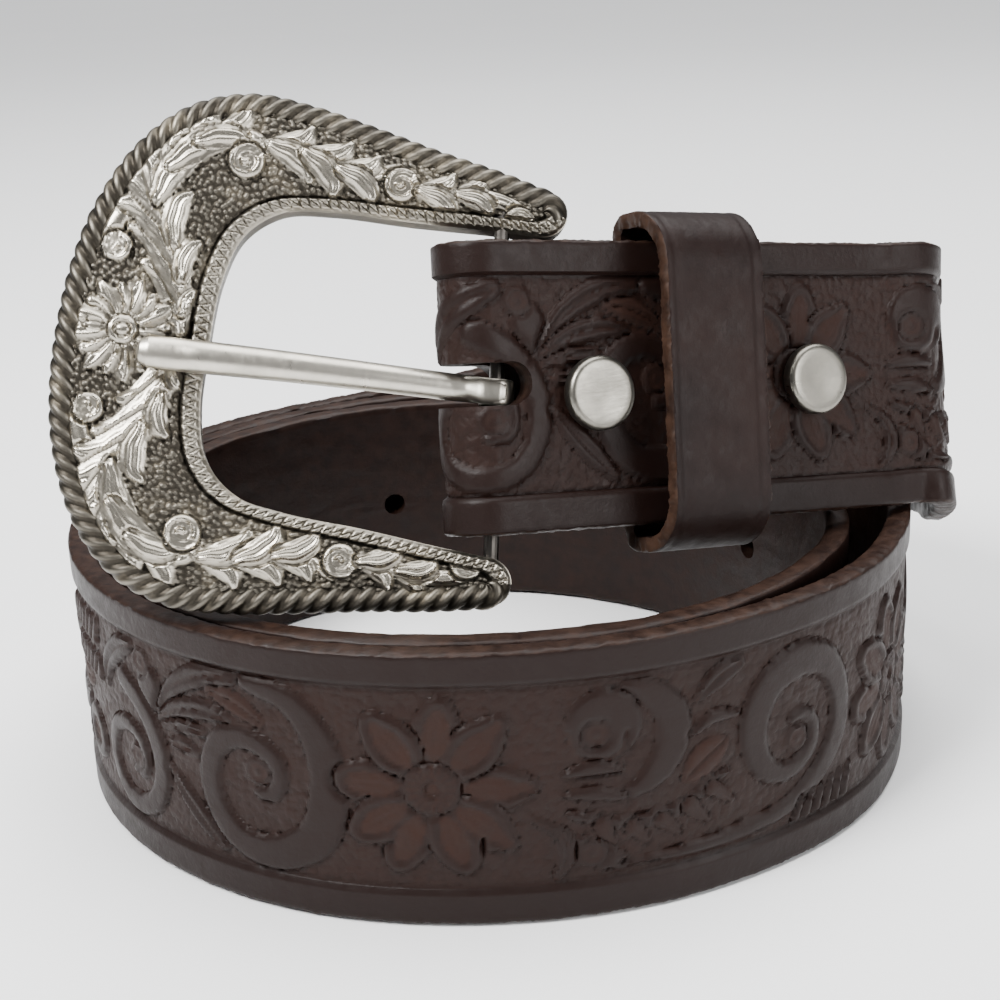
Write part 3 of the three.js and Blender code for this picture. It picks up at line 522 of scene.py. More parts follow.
def buckle_chart():
    """The buckle's raised leaves, scrolls and flower over half of its width, mirrored for the other half."""
    chart = Chart(-62, -1, 72, 38, 10, -0.66, 5)
    chart.pebble(0.75, 0.16)
    raised = dict(shoulder=0.3, cut=0.8, spread=0.5, crown=0.32)

    def vine(points, widths, **extra):
        chart.stroke(points, widths, **{**raised, **extra})

    def spray(points, widths, lobes):
        """A stem under lobes that leave along it and bend away to one side."""
        line = smooth_line(np.column_stack([points, np.zeros(len(points))]), 8)[:, :2]
        run = lengths(line)
        heading = unit(np.gradient(line, axis=0))
        vine(points, [0.8 * wide for wide in widths], crown=0.3, streaks=0.15)
        for share, side, far, wide in lobes:
            place = run[-1] * share
            root = along_line(line, [place])[0]
            ahead = np.array([np.interp(place, run, heading[:, axis]) for axis in range(2)])
            away = side * np.array([-ahead[1], ahead[0]])
            bend = [root + far * (ahead * on + away * off)
                    for on, off in ((0, 0), (0.5, 0.14), (0.88, 0.4), (1.02, 0.8))]
            vine(bend, [wide * 0.7, wide * 1.2, wide, wide * 0.14], streaks=0.24, cut=0.5, spread=0.35)

    def volute(centre, radius, start):
        """A round scroll end with a spiral cut into it."""
        chart.disc(centre, radius, **raised)
        turns = np.linspace(0, 2.5 * math.pi, 14)
        far = radius * (0.72 - 0.5 * turns / turns[-1])
        turns = turns + start
        spiral = np.column_stack([centre[0] + far * np.cos(turns), centre[1] + far * np.sin(turns)])
        chart.stroke(spiral, [0.4, 0.4], top=-0.12, shoulder=0.0, cut=0.3, spread=0.3)

    vine([(-48, 18.8), (-50.6, 16.2), (-52.2, 13.2), (-52.2, 10.6)], [1.4, 2.6, 2.8, 2.6])
    spray([(-41.6, 0.8), (-41.9, 5), (-43.2, 10), (-45.6, 15.5), (-47.2, 19.8)], [1.6, 2.0, 2.2, 2.0, 1.2],
          [(0.03, 1, 8.0, 3.4), (0.26, 1, 9.0, 3.7), (0.5, 1, 8.6, 3.7), (0.74, 1, 7.4, 3.4),
           (0.12, -1, 3.0, 1.8), (0.36, -1, 4.2, 2.4), (0.6, -1, 5.4, 2.8)])
    spray([(-47.2, 17), (-46.6, 21.6), (-43.6, 25.8), (-39.6, 28), (-35.9, 27.4), (-34.8, 25.4)],
          [1.4, 2.2, 2.6, 2.7, 2.5, 2.2],
          [(0.05, 1, 5.6, 3.0), (0.24, 1, 5.4, 3.0), (0.44, 1, 5.0, 2.8), (0.64, 1, 4.4, 2.6),
           (0.05, -1, 7.6, 3.4), (0.28, -1, 7.4, 3.4), (0.5, -1, 5.0, 2.6)])
    volute((-36.9, 24.5), 2.4, 0.6)
    spray([(-34.6, 27.0), (-30, 26.8), (-25, 25.4), (-20.8, 25.6), (-17.2, 27)], [1.2, 2.4, 2.7, 2.5, 2.0],
          [(0.02, 1, 5.0, 2.8), (0.28, 1, 5.2, 2.8), (0.55, 1, 4.6, 2.6),
           (0.05, -1, 5.4, 2.9), (0.3, -1, 5.2, 2.9), (0.58, -1, 4.6, 2.7)])
    volute((-16.6, 24.9), 2.3, 0.9)
    spray([(-14.4, 24.4), (-10.5, 24.6), (-6.5, 25.2), (-2.6, 24.9), (0.4, 23.8)], [1.2, 2.4, 2.7, 2.6, 2.2],
          [(0.02, 1, 4.2, 2.4), (0.34, 1, 3.8, 2.3), (0.05, -1, 4.2, 2.5), (0.38, -1, 3.8, 2.4)])
    volute((-0.6, 22.7), 2.1, 0.7)
    volute((-51.3, 10.6), 2.0, 1.6)
    centre = np.array([-48.75, 0.0])
    for step in range(16):
        wide, far = ((2.4, 6.4), (2.9, 7.4))[step % 2]
        petal = [centre + ray(22.5 * (step + 0.5)) * reach for reach in (1.6, 4.2, far)]
        chart.stroke(petal, [0.9, wide, 0.4], cut=0.6, spread=0.35, crown=0.2, streaks=0.22)
    chart.disc(centre, 1.9, shoulder=0.2, cut=0.6, spread=0.35, crown=0.3)
    chart.disc(centre, 0.9, top=-0.15, shoulder=0.2, cut=0.5, spread=0.3, crown=0.3)
    return chart


# Meshes

def placed(points):
    """Points in the row frame's millimetres as a flat list in metres."""
    return (np.asarray(points, float) * MM).astype(np.float32).reshape(-1)


def mesh_from(form, name):
    mesh = bpy.data.meshes.new(name)
    form.to_mesh(mesh)
    form.free()
    return mesh


def linked(name, data):
    made = bpy.data.objects.new(name, data)
    bpy.context.scene.collection.objects.link(made)
    return made


def closed(values):
    """Rows that end with their own first column again."""
    return np.concatenate([values, values[:, :1]], 1)


def relief_tint(relief):
    return np.stack([np.zeros_like(relief), relief, np.zeros_like(relief)], -1)


def grid_mesh(points, tints=None):
    """A bmesh grid laid on an array of points, with a tint at each point."""
    rows, columns = points.shape[:2]
    grid = bmesh.new()
    bmesh.ops.create_grid(grid, x_segments=columns - 1, y_segments=rows - 1, size=1.0)
    mesh = mesh_from(grid, "sheet")
    mesh.vertices.foreach_set("co", placed(points))
    layer = mesh.color_attributes.new(name="tint", type="FLOAT_COLOR", domain="POINT")
    values = np.ones((rows * columns, 4), np.float32)
    if tints is not None:
        values[:, :3] = np.asarray(tints, np.float32).reshape(-1, 3)
    layer.data.foreach_set("color", values.reshape(-1))
    return mesh


def piece_from(meshes, name, material, body, smooth_angle=50.0, after=None):
    """One closed object made from finished meshes, riding on a body of the frame."""
    form = bmesh.new()
    for mesh in meshes:
        form.from_mesh(mesh)
        bpy.data.meshes.remove(mesh)
    rim = [vert for vert in form.verts if vert.is_boundary]
    bmesh.ops.remove_doubles(form, verts=rim, dist=WELD)
    if after:
        after(form)
    open_edges = [edge for edge in form.edges if edge.is_boundary]
    if open_edges:
        bmesh.ops.holes_fill(form, edges=open_edges, sides=0)
    bmesh.ops.dissolve_degenerate(form, edges=form.edges, dist=1e-7)
    bmesh.ops.recalc_face_normals(form, faces=form.faces)
    mesh = mesh_from(form, name)
    mesh.set_sharp_from_angle(angle=math.radians(smooth_angle))
    mesh.materials.append(material)
    piece = linked(name, mesh)
    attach(piece, body)
    return piece


def edge_round(thick, wide, steps):
    """Heights and depths round the upper edge of a strap, between its front face and its back face."""
    corner = EDGE_CORNER * thick
    rows = []
    for step in range(1, steps):
        angle = math.pi * (0.5 - step / steps)
        bend_x = abs(math.cos(angle)) ** 0.75
        bend_y = math.copysign(abs(math.sin(angle)) ** 0.75, math.sin(angle))
        rows.append((wide - corner + corner * bend_x, thick / 2 * bend_y))
    return np.array(rows).T


def fuzz(points, seed, size):
    """Small uneven steps, the same on each run, for cut leather."""
    random = np.random.default_rng(seed)
    rough = random.normal(0, 1, points)
    soft = (rough + np.roll(rough, 1, 0) + np.roll(rough, -1, 0) + np.roll(rough, 1, 1)) / 2
    return size * soft


def steps_between(start, end, cell):
    return np.linspace(start, end, max(2, round(abs(end - start) / cell) + 1))


def with_rows(places, rows, room):
    """Places with these rows among them, and none of their own within the room of a row."""
    kept = places[np.min(np.abs(places[:, None] - rows), 1) > room]
    return np.unique(np.concatenate([kept, rows]))


TILE = tooled_tile()


def strap_shell(name, runs, cell, material, seed, holes=(), width_share=None):
    """A length of the strap as a closed shell. holes lists (run, across, half length, half width)."""
    wide = STRAP_WIDTH / 2
    corner = wide - EDGE_CORNER * LEATHER
    front = np.linspace(-corner, corner, round(2 * corner / cell) + 1)
    back = np.linspace(corner, -corner, round(2 * corner / max(cell, BACK_CELL)) + 1)
    if holes:
        rows = [mid + half_wide * share for _, mid, _, half_wide in holes for share in HOLE_STEPS]
        front = with_rows(front, np.unique(np.round(rows, 3)), 0.35 * cell)
        back = front[::-1]
    edge, depth = edge_round(LEATHER, wide, 8)
    across = np.concatenate([front, edge, back, -edge])
    out = np.concatenate([np.full(len(front), LEATHER / 2), depth, np.full(len(back), -LEATHER / 2), -depth])
    kind = np.repeat([0, 1, 2, 1], [len(front), len(edge), len(back), len(edge)])
    shape = (len(runs), len(across))
    run, across, out, kind = (np.broadcast_to(part, shape) for part in (runs[:, None], across, out, kind))
    on_edge, on_back = kind == 1, kind == 2
    cuts = np.zeros(shape, bool)
    for centre, mid, half_run, half_wide in holes:
        dx, dy = run - centre, across - mid
        ring = ~on_edge & (np.abs(dx) < half_run + 0.01) & (np.abs(dy) < half_wide + 0.01)
        inner = ring & (np.abs(dx) < half_run - 0.01) & (np.abs(dy) < half_wide - 0.01)
        straight = half_run - half_wide
        ends = ring & ~inner & (np.abs(dx) > straight + 0.01)
        local = dx - np.sign(dx) * straight
        far = np.maximum(np.hypot(local, dy), 1e-3)
        run = np.where(ends, centre + np.sign(dx) * straight + local * half_wide / far, run)
        across = np.where(ends, mid + dy * half_wide / far, across)
        cuts |= inner
    place = TILE_START + np.mod(run - TILE_START, TILE_LENGTH)
    worked = smooth(-16, -8, run) * (kind == 0)
    height = TILE.sample(TILE.height, place, across) * worked
    colour = TILE.sample(TILE.colour, place, across) * worked + PLAIN * (1 - worked)
    rough = fuzz(shape, seed, 0.045)
    if width_share is not None:
        across = across * width_share(run)
    side = np.sign(across) * on_edge
    points = strap_points(run, across + side * (rough * 1.3 - 0.06),
                          out + height + np.where(on_back, rough * 0.7 - 0.06, 0))
    tints = np.stack([colour, np.clip(1 + height / RELIEF, 0, 1), kind / 2], -1)
    mesh = grid_mesh(closed(points), closed(tints))

    def pierce(form):
        layer = form.verts.layers.int["cut"]
        bmesh.ops.delete(form, geom=[vert for vert in form.verts if vert[layer]], context="VERTS")
        for centre, mid, half_run, half_wide in holes:
            spot = Vector(placed(strap_points(np.array([centre]), [mid], [0.0])))
            reach = (max(half_run, half_wide) + 8) * MM
            rim = [edge for edge in form.edges if edge.is_boundary
                   and (edge.verts[0].co - spot).length < reach]
            bmesh.ops.bridge_loops(form, edges=rim)

    if holes:
        flags = mesh.attributes.new(name="cut", type="INT", domain="POINT")
        flags.data.foreach_set("value", closed(cuts).astype(np.int32).reshape(-1))
    piece = piece_from([mesh], name, material, "root", after=pierce if holes else None)
    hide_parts("belt_strap")


def tube(points, sides, radius):
    """A closed tube along a line, its radius given for each length and angle."""
    ahead = unit(np.gradient(points, axis=0))
    side = unit(np.cross(ahead, BUCKLE[:, 2]))
    rise = np.cross(side, ahead)
    angle = np.linspace(0, 2 * math.pi, sides + 1)
    ring = side[:, None] * np.cos(angle)[None, :, None] + rise[:, None] * np.sin(angle)[None, :, None]
    return points[:, None] + ring * radius(lengths(points)[:, None], angle[None])[..., None]


def spun(profile, centre, turn, material, name, node):
    """A turned piece from rows of radius and height, standing along the end's outward axis."""
    form = bmesh.new()
    bmesh.ops.create_grid(form, x_segments=len(profile) - 1, y_segments=1, size=1.0)
    form.verts.ensure_lookup_table()
    for index, (radius, height) in enumerate(profile):
        form.verts[index].co = (radius * MM, 0, height * MM)
    bmesh.ops.delete(form, geom=list(form.verts)[len(profile):], context="VERTS")
    line = list(form.verts) + list(form.edges)
    bmesh.ops.spin(form, geom=line, cent=(0, 0, 0), axis=(0, 0, 1), angle=2 * math.pi, steps=64,
                   use_merge=True)
    bmesh.ops.remove_doubles(form, verts=form.verts, dist=1e-6)
    basis = Matrix([[*row, 0] for row in turn.tolist()] + [[0, 0, 0, 1]])
    basis.translation = Vector((centre * MM).tolist())
    bmesh.ops.transform(form, matrix=basis, verts=form.verts)
    piece = piece_from([mesh_from(form, name)], name, material, "root", smooth_angle=35.0)
    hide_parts(node)


# Materials

class Finish:
    """A material's node tree, built a node at a time."""

    def __init__(self, name):
        self.material = bpy.data.materials.new(name)
        self.material.use_nodes = True
        self.tree = self.material.node_tree
        self.shader = self.tree.nodes["Principled BSDF"]
        self.place = self.node("ShaderNodeTexCoord").outputs["Object"]

    def node(self, kind, inputs=(), **settings):
        """A new node with its settings, and a value or a link for each input by name or number."""
        made = self.tree.nodes.new(kind)
        for name, value in settings.items():
            setattr(made, name, value)
        for name, value in dict(inputs).items():
            self.put(made.inputs[name], value)
        return made

    def put(self, socket, value):
        if isinstance(value, bpy.types.NodeSocket):
            self.tree.links.new(value, socket)
        elif isinstance(value, (tuple, list)) and len(socket.default_value) == 4:
            socket.default_value = (*value, 1)
        else:
            socket.default_value = value

    def noise(self, scale, detail=4.0, rough=0.55, stretch=None):
        place = self.place
        if stretch:
            place = self.node("ShaderNodeMapping", {"Vector": place, "Scale": stretch}).outputs["Vector"]
        return self.node("ShaderNodeTexNoise", {
            "Vector": place, "Scale": scale, "Detail": detail, "Roughness": rough,
        }).outputs["Fac"]

    def cells(self, scale):
        return self.node("ShaderNodeTexVoronoi", {"Vector": self.place, "Scale": scale}).outputs["Distance"]

    def range(self, value, low, high, to_low=0.0, to_high=1.0):
        return self.node("ShaderNodeMapRange", {
            "Value": value, "From Min": low, "From Max": high, "To Min": to_low, "To Max": to_high,
        }).outputs["Result"]

    def math(self, operation, first, second=0.0):
        return self.node("ShaderNodeMath", {0: first, 1: second}, operation=operation).outputs[0]

    def mix(self, share, first, second):
        return self.node("ShaderNodeMix", {"Factor": share, 6: first, 7: second}, data_type="RGBA").outputs[2]

    def tints(self):
        """The share of tooled colour, the relief, and front face, edge or back face as 0, 0.5 or 1."""
        tint = self.node("ShaderNodeAttribute", attribute_name="tint").outputs["Color"]
        return self.node("ShaderNodeSeparateColor", {0: tint}).outputs

    def bump(self, height, strength, distance):
        made = self.node("ShaderNodeBump", {"Height": height, "Strength": strength, "Distance": distance})
        self.put(self.shader.inputs["Normal"], made.outputs["Normal"])

    def set(self, base, rough, metal=0.0, specular=0.5):
        for name, value in (("Base Color", base), ("Roughness", rough), ("Metallic", metal),
                            ("Specular IOR Level", specular)):
            self.put(self.shader.inputs[name], value)


def tooled_leather(sizes):
    finish = Finish("tooled_leather")
    recess, relief, kind = finish.tints()[:3]
    patch = finish.noise(55, 3)
    grain = finish.noise(1500, 4, 0.6)
    pores = finish.noise(420, 5, 0.65)
    patchy = finish.range(pores, 0.35, 0.65)
    share = finish.math("MULTIPLY", recess, finish.range(pores, 0.3, 0.7, 0.55, 1.0))
    base = finish.mix(share, tuple(sizes.leather_dark), tuple(sizes.leather_brown))
    # Painted shade: where the relief sinks below the ground the colour is darkened towards near black, most in
    # the bottoms of the cut grooves.
    base = finish.mix(finish.range(relief, 0.0, 0.35, 0.75, 0.0), base, (0.003, 0.0013, 0.001))
    flesh = finish.mix(patchy, (0.0075, 0.0032, 0.0023), (0.016, 0.007, 0.0047))
    base = finish.mix(finish.range(kind, 0.6, 0.9), base, flesh)
    raw = finish.mix(patchy, (0.01, 0.005, 0.0037), (0.029, 0.0145, 0.0095))
    from_edge = finish.math("ABSOLUTE", finish.math("SUBTRACT", kind, 0.5))
    edge = finish.math("SUBTRACT", 1.0, from_edge)
    base = finish.mix(finish.range(edge, 0.7, 0.95), base, raw)
    base = finish.mix(finish.range(patch, 0.35, 0.7, 0.0, 0.35), base, (0.009, 0.004, 0.003))
    rough = finish.range(finish.math("ADD", finish.math("MULTIPLY", share, 0.5), pores), 0.3, 1.2, 0.36, 0.72)
    stamped = finish.math("MULTIPLY", finish.cells(1250), finish.range(relief, 0.1, 0.4, 1.0, 0.0))
    finish.set(base, rough, specular=0.16)
    height = finish.math("ADD", finish.math("MULTIPLY", grain, 0.35), finish.math("MULTIPLY", pores, 0.5))
    finish.bump(finish.math("SUBTRACT", height, finish.math("MULTIPLY", stamped, 1.6)), 0.5, 0.00032)
    return finish.material


def plain_leather():
    finish = Finish("keeper_leather")
    kind = finish.tints()[2]
    grain = finish.noise(1300, 4, 0.6)
    pores = finish.noise(300, 5, 0.65)
    patch = finish.noise(70, 3)
    base = finish.mix(finish.range(patch, 0.35, 0.7), (0.0068, 0.0028, 0.0022), (0.0125, 0.0053, 0.0039))
    raw = finish.mix(finish.range(pores, 0.35, 0.65), (0.013, 0.0065, 0.0045), (0.038, 0.019, 0.0115))
    base = finish.mix(finish.range(kind, 0.3, 0.7), base, raw)
    finish.set(base, finish.range(pores, 0.3, 0.7, 0.38, 0.6), specular=0.15)
    finish.bump(finish.math("ADD", finish.math("MULTIPLY", grain, 0.4), pores), 0.3, 0.0003)
    return finish.material


def cast_silver(sizes):
    finish = Finish("antique_silver")
    relief = finish.tints()[1]
    stain = finish.noise(160, 5, 0.6)
    fine = finish.noise(900, 4, 0.6)
    worn = finish.range(finish.math("ADD", relief, finish.math("MULTIPLY", stain, 0.35)), 0.5, 1.1)
    base = finish.mix(worn, tuple(sizes.silver_dark), tuple(sizes.silver_bright))
    base = finish.mix(finish.range(stain, 0.5, 0.8, 0.0, 0.35), base, (0.42, 0.36, 0.26))
    rough = finish.range(finish.math("ADD", worn, finish.math("MULTIPLY", fine, 0.5)), 0.2, 1.4, 0.5, 0.24)
    finish.set(base, rough, metal=1.0)
    finish.bump(finish.math("ADD", fine, stain), 0.18, 0.0002)
    return finish.material


def satin_metal(name, stretch, low, high):
    """A brushed metal between two colours, its lines drawn out by the stretch."""
    finish = Finish(name)
    lines = finish.noise(500, 3, 0.6, stretch)
    stain = finish.noise(180, 4, 0.6)
    base = finish.mix(finish.range(stain, 0.3, 0.75), high, low)
    finish.set(base, finish.range(finish.math("ADD", lines, stain), 0.6, 1.4, 0.24, 0.42), metal=1.0)
    finish.bump(lines, 0.12, 0.0001)
    return finish.material


# Settings and operators

class BeltLeatherSettings(bpy.types.PropertyGroup):
    """Colours and fineness of the leather pieces"""
    leather_dark: bpy.props.FloatVectorProperty(
        name="Raised leather", description="Colour of the strap's smooth raised parts", subtype="COLOR",
        size=3, min=0, max=1, default=(0.0082, 0.0034, 0.0025))
    leather_brown: bpy.props.FloatVectorProperty(
        name="Tooled leather", description="Colour in the strap's cut and stamped parts", subtype="COLOR",
        size=3, min=0, max=1, default=(0.024, 0.0092, 0.0056))
    cell: bpy.props.FloatProperty(
        name="Cell", description="Size of a mesh cell on the tooled face", unit="LENGTH",
        min=0.0003, max=0.002, default=0.00042)


class BeltMetalSettings(bpy.types.PropertyGroup):
    """Colours of the metal pieces"""
    silver_bright: bpy.props.FloatVectorProperty(
        name="Bright silver", description="Colour of the buckle's worn raised parts", subtype="COLOR",
        size=3, min=0, max=1, default=(0.43, 0.395, 0.33))
    silver_dark: bpy.props.FloatVectorProperty(
        name="Dark silver", description="Colour in the buckle's recesses", subtype="COLOR",
        size=3, min=0, max=1, default=(0.04, 0.035, 0.028))


class BeltStageSettings(bpy.types.PropertyGroup):
    """Floor, light and camera"""
    floor: bpy.props.FloatVectorProperty(
        name="Floor", description="Colour of the floor", subtype="COLOR", size=3, min=0, max=1,
        default=(0.93, 0.93, 0.93))
    lens: bpy.props.FloatProperty(
        name="Lens", description="Focal length of the camera", min=10, max=300, default=61.2)


class BELT_OT_strap(bpy.types.Operator):
    """Makes the tooled strap, from the tab under the buckle end to the tip"""
    bl_idname = "belt.strap"
    bl_label = "Strap"

    def execute(self, context):
        leather = context.scene.belt_leather
        material = tooled_leather(leather)
        cell = leather.cell / MM
        slot_centre = -LOOP_RADIUS * math.pi / 2
        slot_half = LOOP_RADIUS * math.pi / 2 + SLOT_END - LOOP_CENTRE
        slot = (slot_centre, SLOT_RISE, slot_half, SLOT_WIDTH / 2)
        slot_rows = slot_centre + slot_half - (SLOT_WIDTH / 2) * np.array([0, 0.25, 0.5, 0.75, 1])
        slot_rows = np.concatenate([slot_rows, 2 * slot_centre - slot_rows])
        runs = np.unique(np.concatenate([
            steps_between(STRAP_RUN[0] + 0.3, TAB_RUN, 1.6), steps_between(TAB_RUN, RISE_RUN, 0.42),
        ]))
        strap_shell("strap_fold", with_rows(runs, slot_rows, 0.15), 0.46, material, 3, [slot])
        strap_shell("strap_rise", steps_between(RISE_RUN, FRONT_RUN, cell), cell, material, 4)
        strap_shell("strap_front", steps_between(FRONT_RUN, INNER_RUN, cell + 0.03), cell + 0.03, material, 5)
        holes = [(TIP_RUN - FIRST_HOLE - HOLE_SPACING * count, 0.0, HOLE_RADIUS, HOLE_RADIUS)
                 for count in range(HOLE_COUNT)]
        hole_rows = np.array([hole[0] + HOLE_RADIUS * share for hole in holes for share in HOLE_STEPS])
        body = TIP_RUN - TIP_ROUND
        tip = body + TIP_ROUND * np.sin(np.linspace(0, TIP_BLUNT, 22)) / math.sin(TIP_BLUNT)
        runs = with_rows(steps_between(INNER_RUN, body, 1.5), hole_rows, 0.5)

        def width_share(run):
            reach = np.clip((run - body) / TIP_ROUND, 0, 1) * math.sin(TIP_BLUNT)
            return np.sqrt(1 - reach * reach)

        runs = np.unique(np.concatenate([runs, tip]))
        strap_shell("strap_inner", runs, 0.9, material, 6, holes, width_share)
        return {"FINISHED"}


class BELT_OT_keeper(bpy.types.Operator):
    """Makes the keeper loop round the front layer of the strap"""
    bl_idname = "belt.keeper"
    bl_label = "Keeper"

    def execute(self, context):
        inset = KEEPER_LEATHER / 2
        back = -(LEATHER + CLEARANCE + KEEPER_LEATHER) + inset
        half = STRAP_WIDTH / 2 + KEEPER_SLACK + KEEPER_LEATHER - inset
        wide = KEEPER_ROOM + KEEPER_LEATHER - inset
        tight = 0.6 * KEEPER_SLACK + KEEPER_LEATHER - inset
        corners = ((0, half - wide, wide, 0), (back + tight, half - tight, tight, 90),
                   (back + tight, -half + tight, tight, 180), (0, -half + wide, wide, 270))
        outline = np.array([(out, across) + radius * ray(start + 90 * step / 12)
                            for out, across, radius, start in corners for step in range(13)])
        outline = np.concatenate([outline, outline[:1]])
        line = along_line(outline, np.linspace(0, lengths(outline)[-1], 300))
        normal = np.gradient(line, axis=0)
        normal[0] = normal[-1] = line[1] - line[-2]
        normal = unit(np.stack([normal[:, 1], -normal[:, 0]], -1))
        edge, depth = edge_round(KEEPER_LEATHER, KEEPER_WIDTH / 2, 6)
        flat = np.linspace(EDGE_CORNER * KEEPER_LEATHER - KEEPER_WIDTH / 2,
                           KEEPER_WIDTH / 2 - EDGE_CORNER * KEEPER_LEATHER, 36)
        along = np.concatenate([flat, edge, flat[::-1], -edge])
        out = np.concatenate([np.full(36, inset), depth, np.full(36, -inset), -depth])
        rim = np.repeat([0.0, 1.0, 0.0, 1.0], [36, len(edge), 36, len(edge)])
        rough = fuzz((len(line), len(along)), 21, 0.05)
        rough[-1] = rough[0]
        crease = 0.16 * np.exp(-((np.abs(along) - 6.1) / 0.28) ** 2) * (out > 0) * (rim == 0)
        out = out + (rough * np.where(rim, 0.6, 0.25) - 0.05) * np.sign(out) - crease
        along = along + (rough * 2.0 - 0.1) * rim * np.sign(along)
        points = on_end(np.stack([
            KEEPER_PLACE + along,
            line[:, 1, None] + normal[:, 1, None] * out,
            line[:, 0, None] + normal[:, 0, None] * out,
        ], -1))
        tints = np.zeros(points.shape)
        tints[..., 2] = rim
        piece = piece_from([grid_mesh(closed(points), closed(tints))], "keeper", plain_leather(), "root")
        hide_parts("keeper_loop")
        return {"FINISHED"}


class BELT_OT_snaps(bpy.types.Operator):
    """Makes the two snaps, each with a cap in front and a stud behind"""
    bl_idname = "belt.snaps"
    bl_label = "Snaps"

    def execute(self, context):
        nickel = satin_metal("snap_nickel", (1.0, 1.0, 6.0), (0.16, 0.151, 0.131), (0.25, 0.237, 0.205))
        top = CLEARANCE + CAP_HEIGHT
        socket_top = -LEATHER - CLEARANCE
        socket_end = -LEATHER - TAB_GAP + CLEARANCE
        cap = [
            (0, socket_end), (SOCKET_RADIUS - 0.4, socket_end), (SOCKET_RADIUS, socket_end + 0.4),
            (SOCKET_RADIUS, socket_top - 0.3), (SOCKET_RADIUS - 0.3, socket_top), (POST_RADIUS, socket_top),
            (POST_RADIUS, CLEARANCE), (CAP_RADIUS - 0.45, CLEARANCE), (CAP_RADIUS - 0.12, CLEARANCE + 0.15),
            (CAP_RADIUS, CLEARANCE + 0.5), (CAP_RADIUS, top - 0.75), (CAP_RADIUS - 0.08, top - 0.45),
            (CAP_RADIUS - 0.3, top - 0.17), (CAP_RADIUS - 0.6, top - 0.04), (CAP_RADIUS - 0.9, top),
            (CAP_RADIUS - 1.6, top), (CAP_RADIUS - 3.0, top - 0.05), (0, top - 0.08),
        ]
        head = -LEATHER - TAB_GAP
        seat = head - LEATHER - CLEARANCE
        bottom = seat - STUD_HEIGHT
        stud = [
            (0, bottom), (STUD_RADIUS - 1.4, bottom), (STUD_RADIUS - 0.6, bottom + 0.12),
            (STUD_RADIUS - 0.15, bottom + 0.45), (STUD_RADIUS, bottom + 0.9), (STUD_RADIUS, seat - 0.2),
            (STUD_RADIUS - 0.2, seat), (POST_RADIUS, seat), (POST_RADIUS, head), (0, head),
        ]
        for number, (along, across) in enumerate(SNAP_PLACES, 1):
            centre = on_end([along, across, 0])
            spun(cap, centre, END, nickel, f"snap_{number}_front", f"snap_cap_{number}")
            spun(stud, centre, END, nickel, f"snap_{number}_back", f"snap_stud_{number}")
        return {"FINISHED"}


def outline_line(rows, per=14):
    """Both halves of an outline in the buckle's plane, from its upper end round to its lower end."""
    upper = [(reach * BUCKLE_REACH, half * BUCKLE_HALF) for reach, half in rows]
    whole = np.array(upper + [(x, -y) for x, y in upper[-2::-1]])
    return smooth_line(np.column_stack([whole, np.zeros(len(whole))]), per)[:, :2]


def cap_round(start, end, count, inset=0.0):
    """Points round the upper arm's end, between two angles in degrees and drawn in by a distance."""
    centre = np.array([END_CAP[0] * BUCKLE_REACH, END_CAP[1] * BUCKLE_HALF])
    angles = np.radians(np.linspace(start, end, count))
    return centre + (END_CAP[2] * BUCKLE_HALF - inset) * np.stack([np.cos(angles), np.sin(angles)], -1)


def rope_line(inset, start=0):
    """The buckle's outer edge with the rounds of both arms' ends, drawn in by a distance."""
    outer = outline_line(OUTER_ROWS, 24)
    heading = unit(np.gradient(outer, axis=0))
    outer = outer + np.stack([-heading[:, 1], heading[:, 0]], -1) * inset
    cap = cap_round(start, 80, 16, inset)
    return np.concatenate([cap, outer[2:-2], cap[::-1] * MIRROR])


def arm_lines(count):
    """Matching points on the window's edge and the outer edge of the buckle, round the bend."""
    inner = outline_line(WINDOW_ROWS[::-1])
    inner = np.concatenate([cap_round(-8, -85, 9), inner, cap_round(-85, -8, 9) * MIRROR])
    outer = rope_line(PLATE_INSET)
    return [along_line(line, np.linspace(0, lengths(line)[-1], count)) for line in (inner, outer)]


def plate_face(inner, outer):
    """The plate's front between its two edges: places in its plane, levels, and height over the ground."""
    chart = buckle_chart()
    share = np.linspace(0, 1, 84)
    face = inner[:, None] + (outer - inner)[:, None] * share[None, :, None]
    width = np.linalg.norm(outer - inner, axis=1)[:, None]
    from_window, from_edge = width * share, width * (1 - share)
    height = chart.sample(chart.height, face[..., 0], np.abs(face[..., 1]))
    tooth = np.abs(np.mod(lengths(inner)[:, None] / TOOTH_PITCH, 1) * 2 - 1)
    off_line = np.abs(tooth - (from_window - 0.6) / (RIM_WIDTH - 0.9))
    height = np.where(from_window < RIM_WIDTH, -0.2 - 0.3 * np.exp(-(off_line / 0.2) ** 2), height)
    height = height - 0.45 * np.exp(-((from_window - RIM_WIDTH) / 0.28) ** 2)
    margin = smooth(0.0, 0.7, from_edge)
    height = height * margin - 0.75 * (1 - margin)
    dome = 0.55 * np.sin(math.pi * np.clip(from_window / np.maximum(width, 1), 0, 1)) * smooth(4, 12, width)
    bevel = 0.5 * (1 - smooth(0, 0.7, from_window))
    return face, PLATE_TOP - 0.3 + height + dome - bevel, height


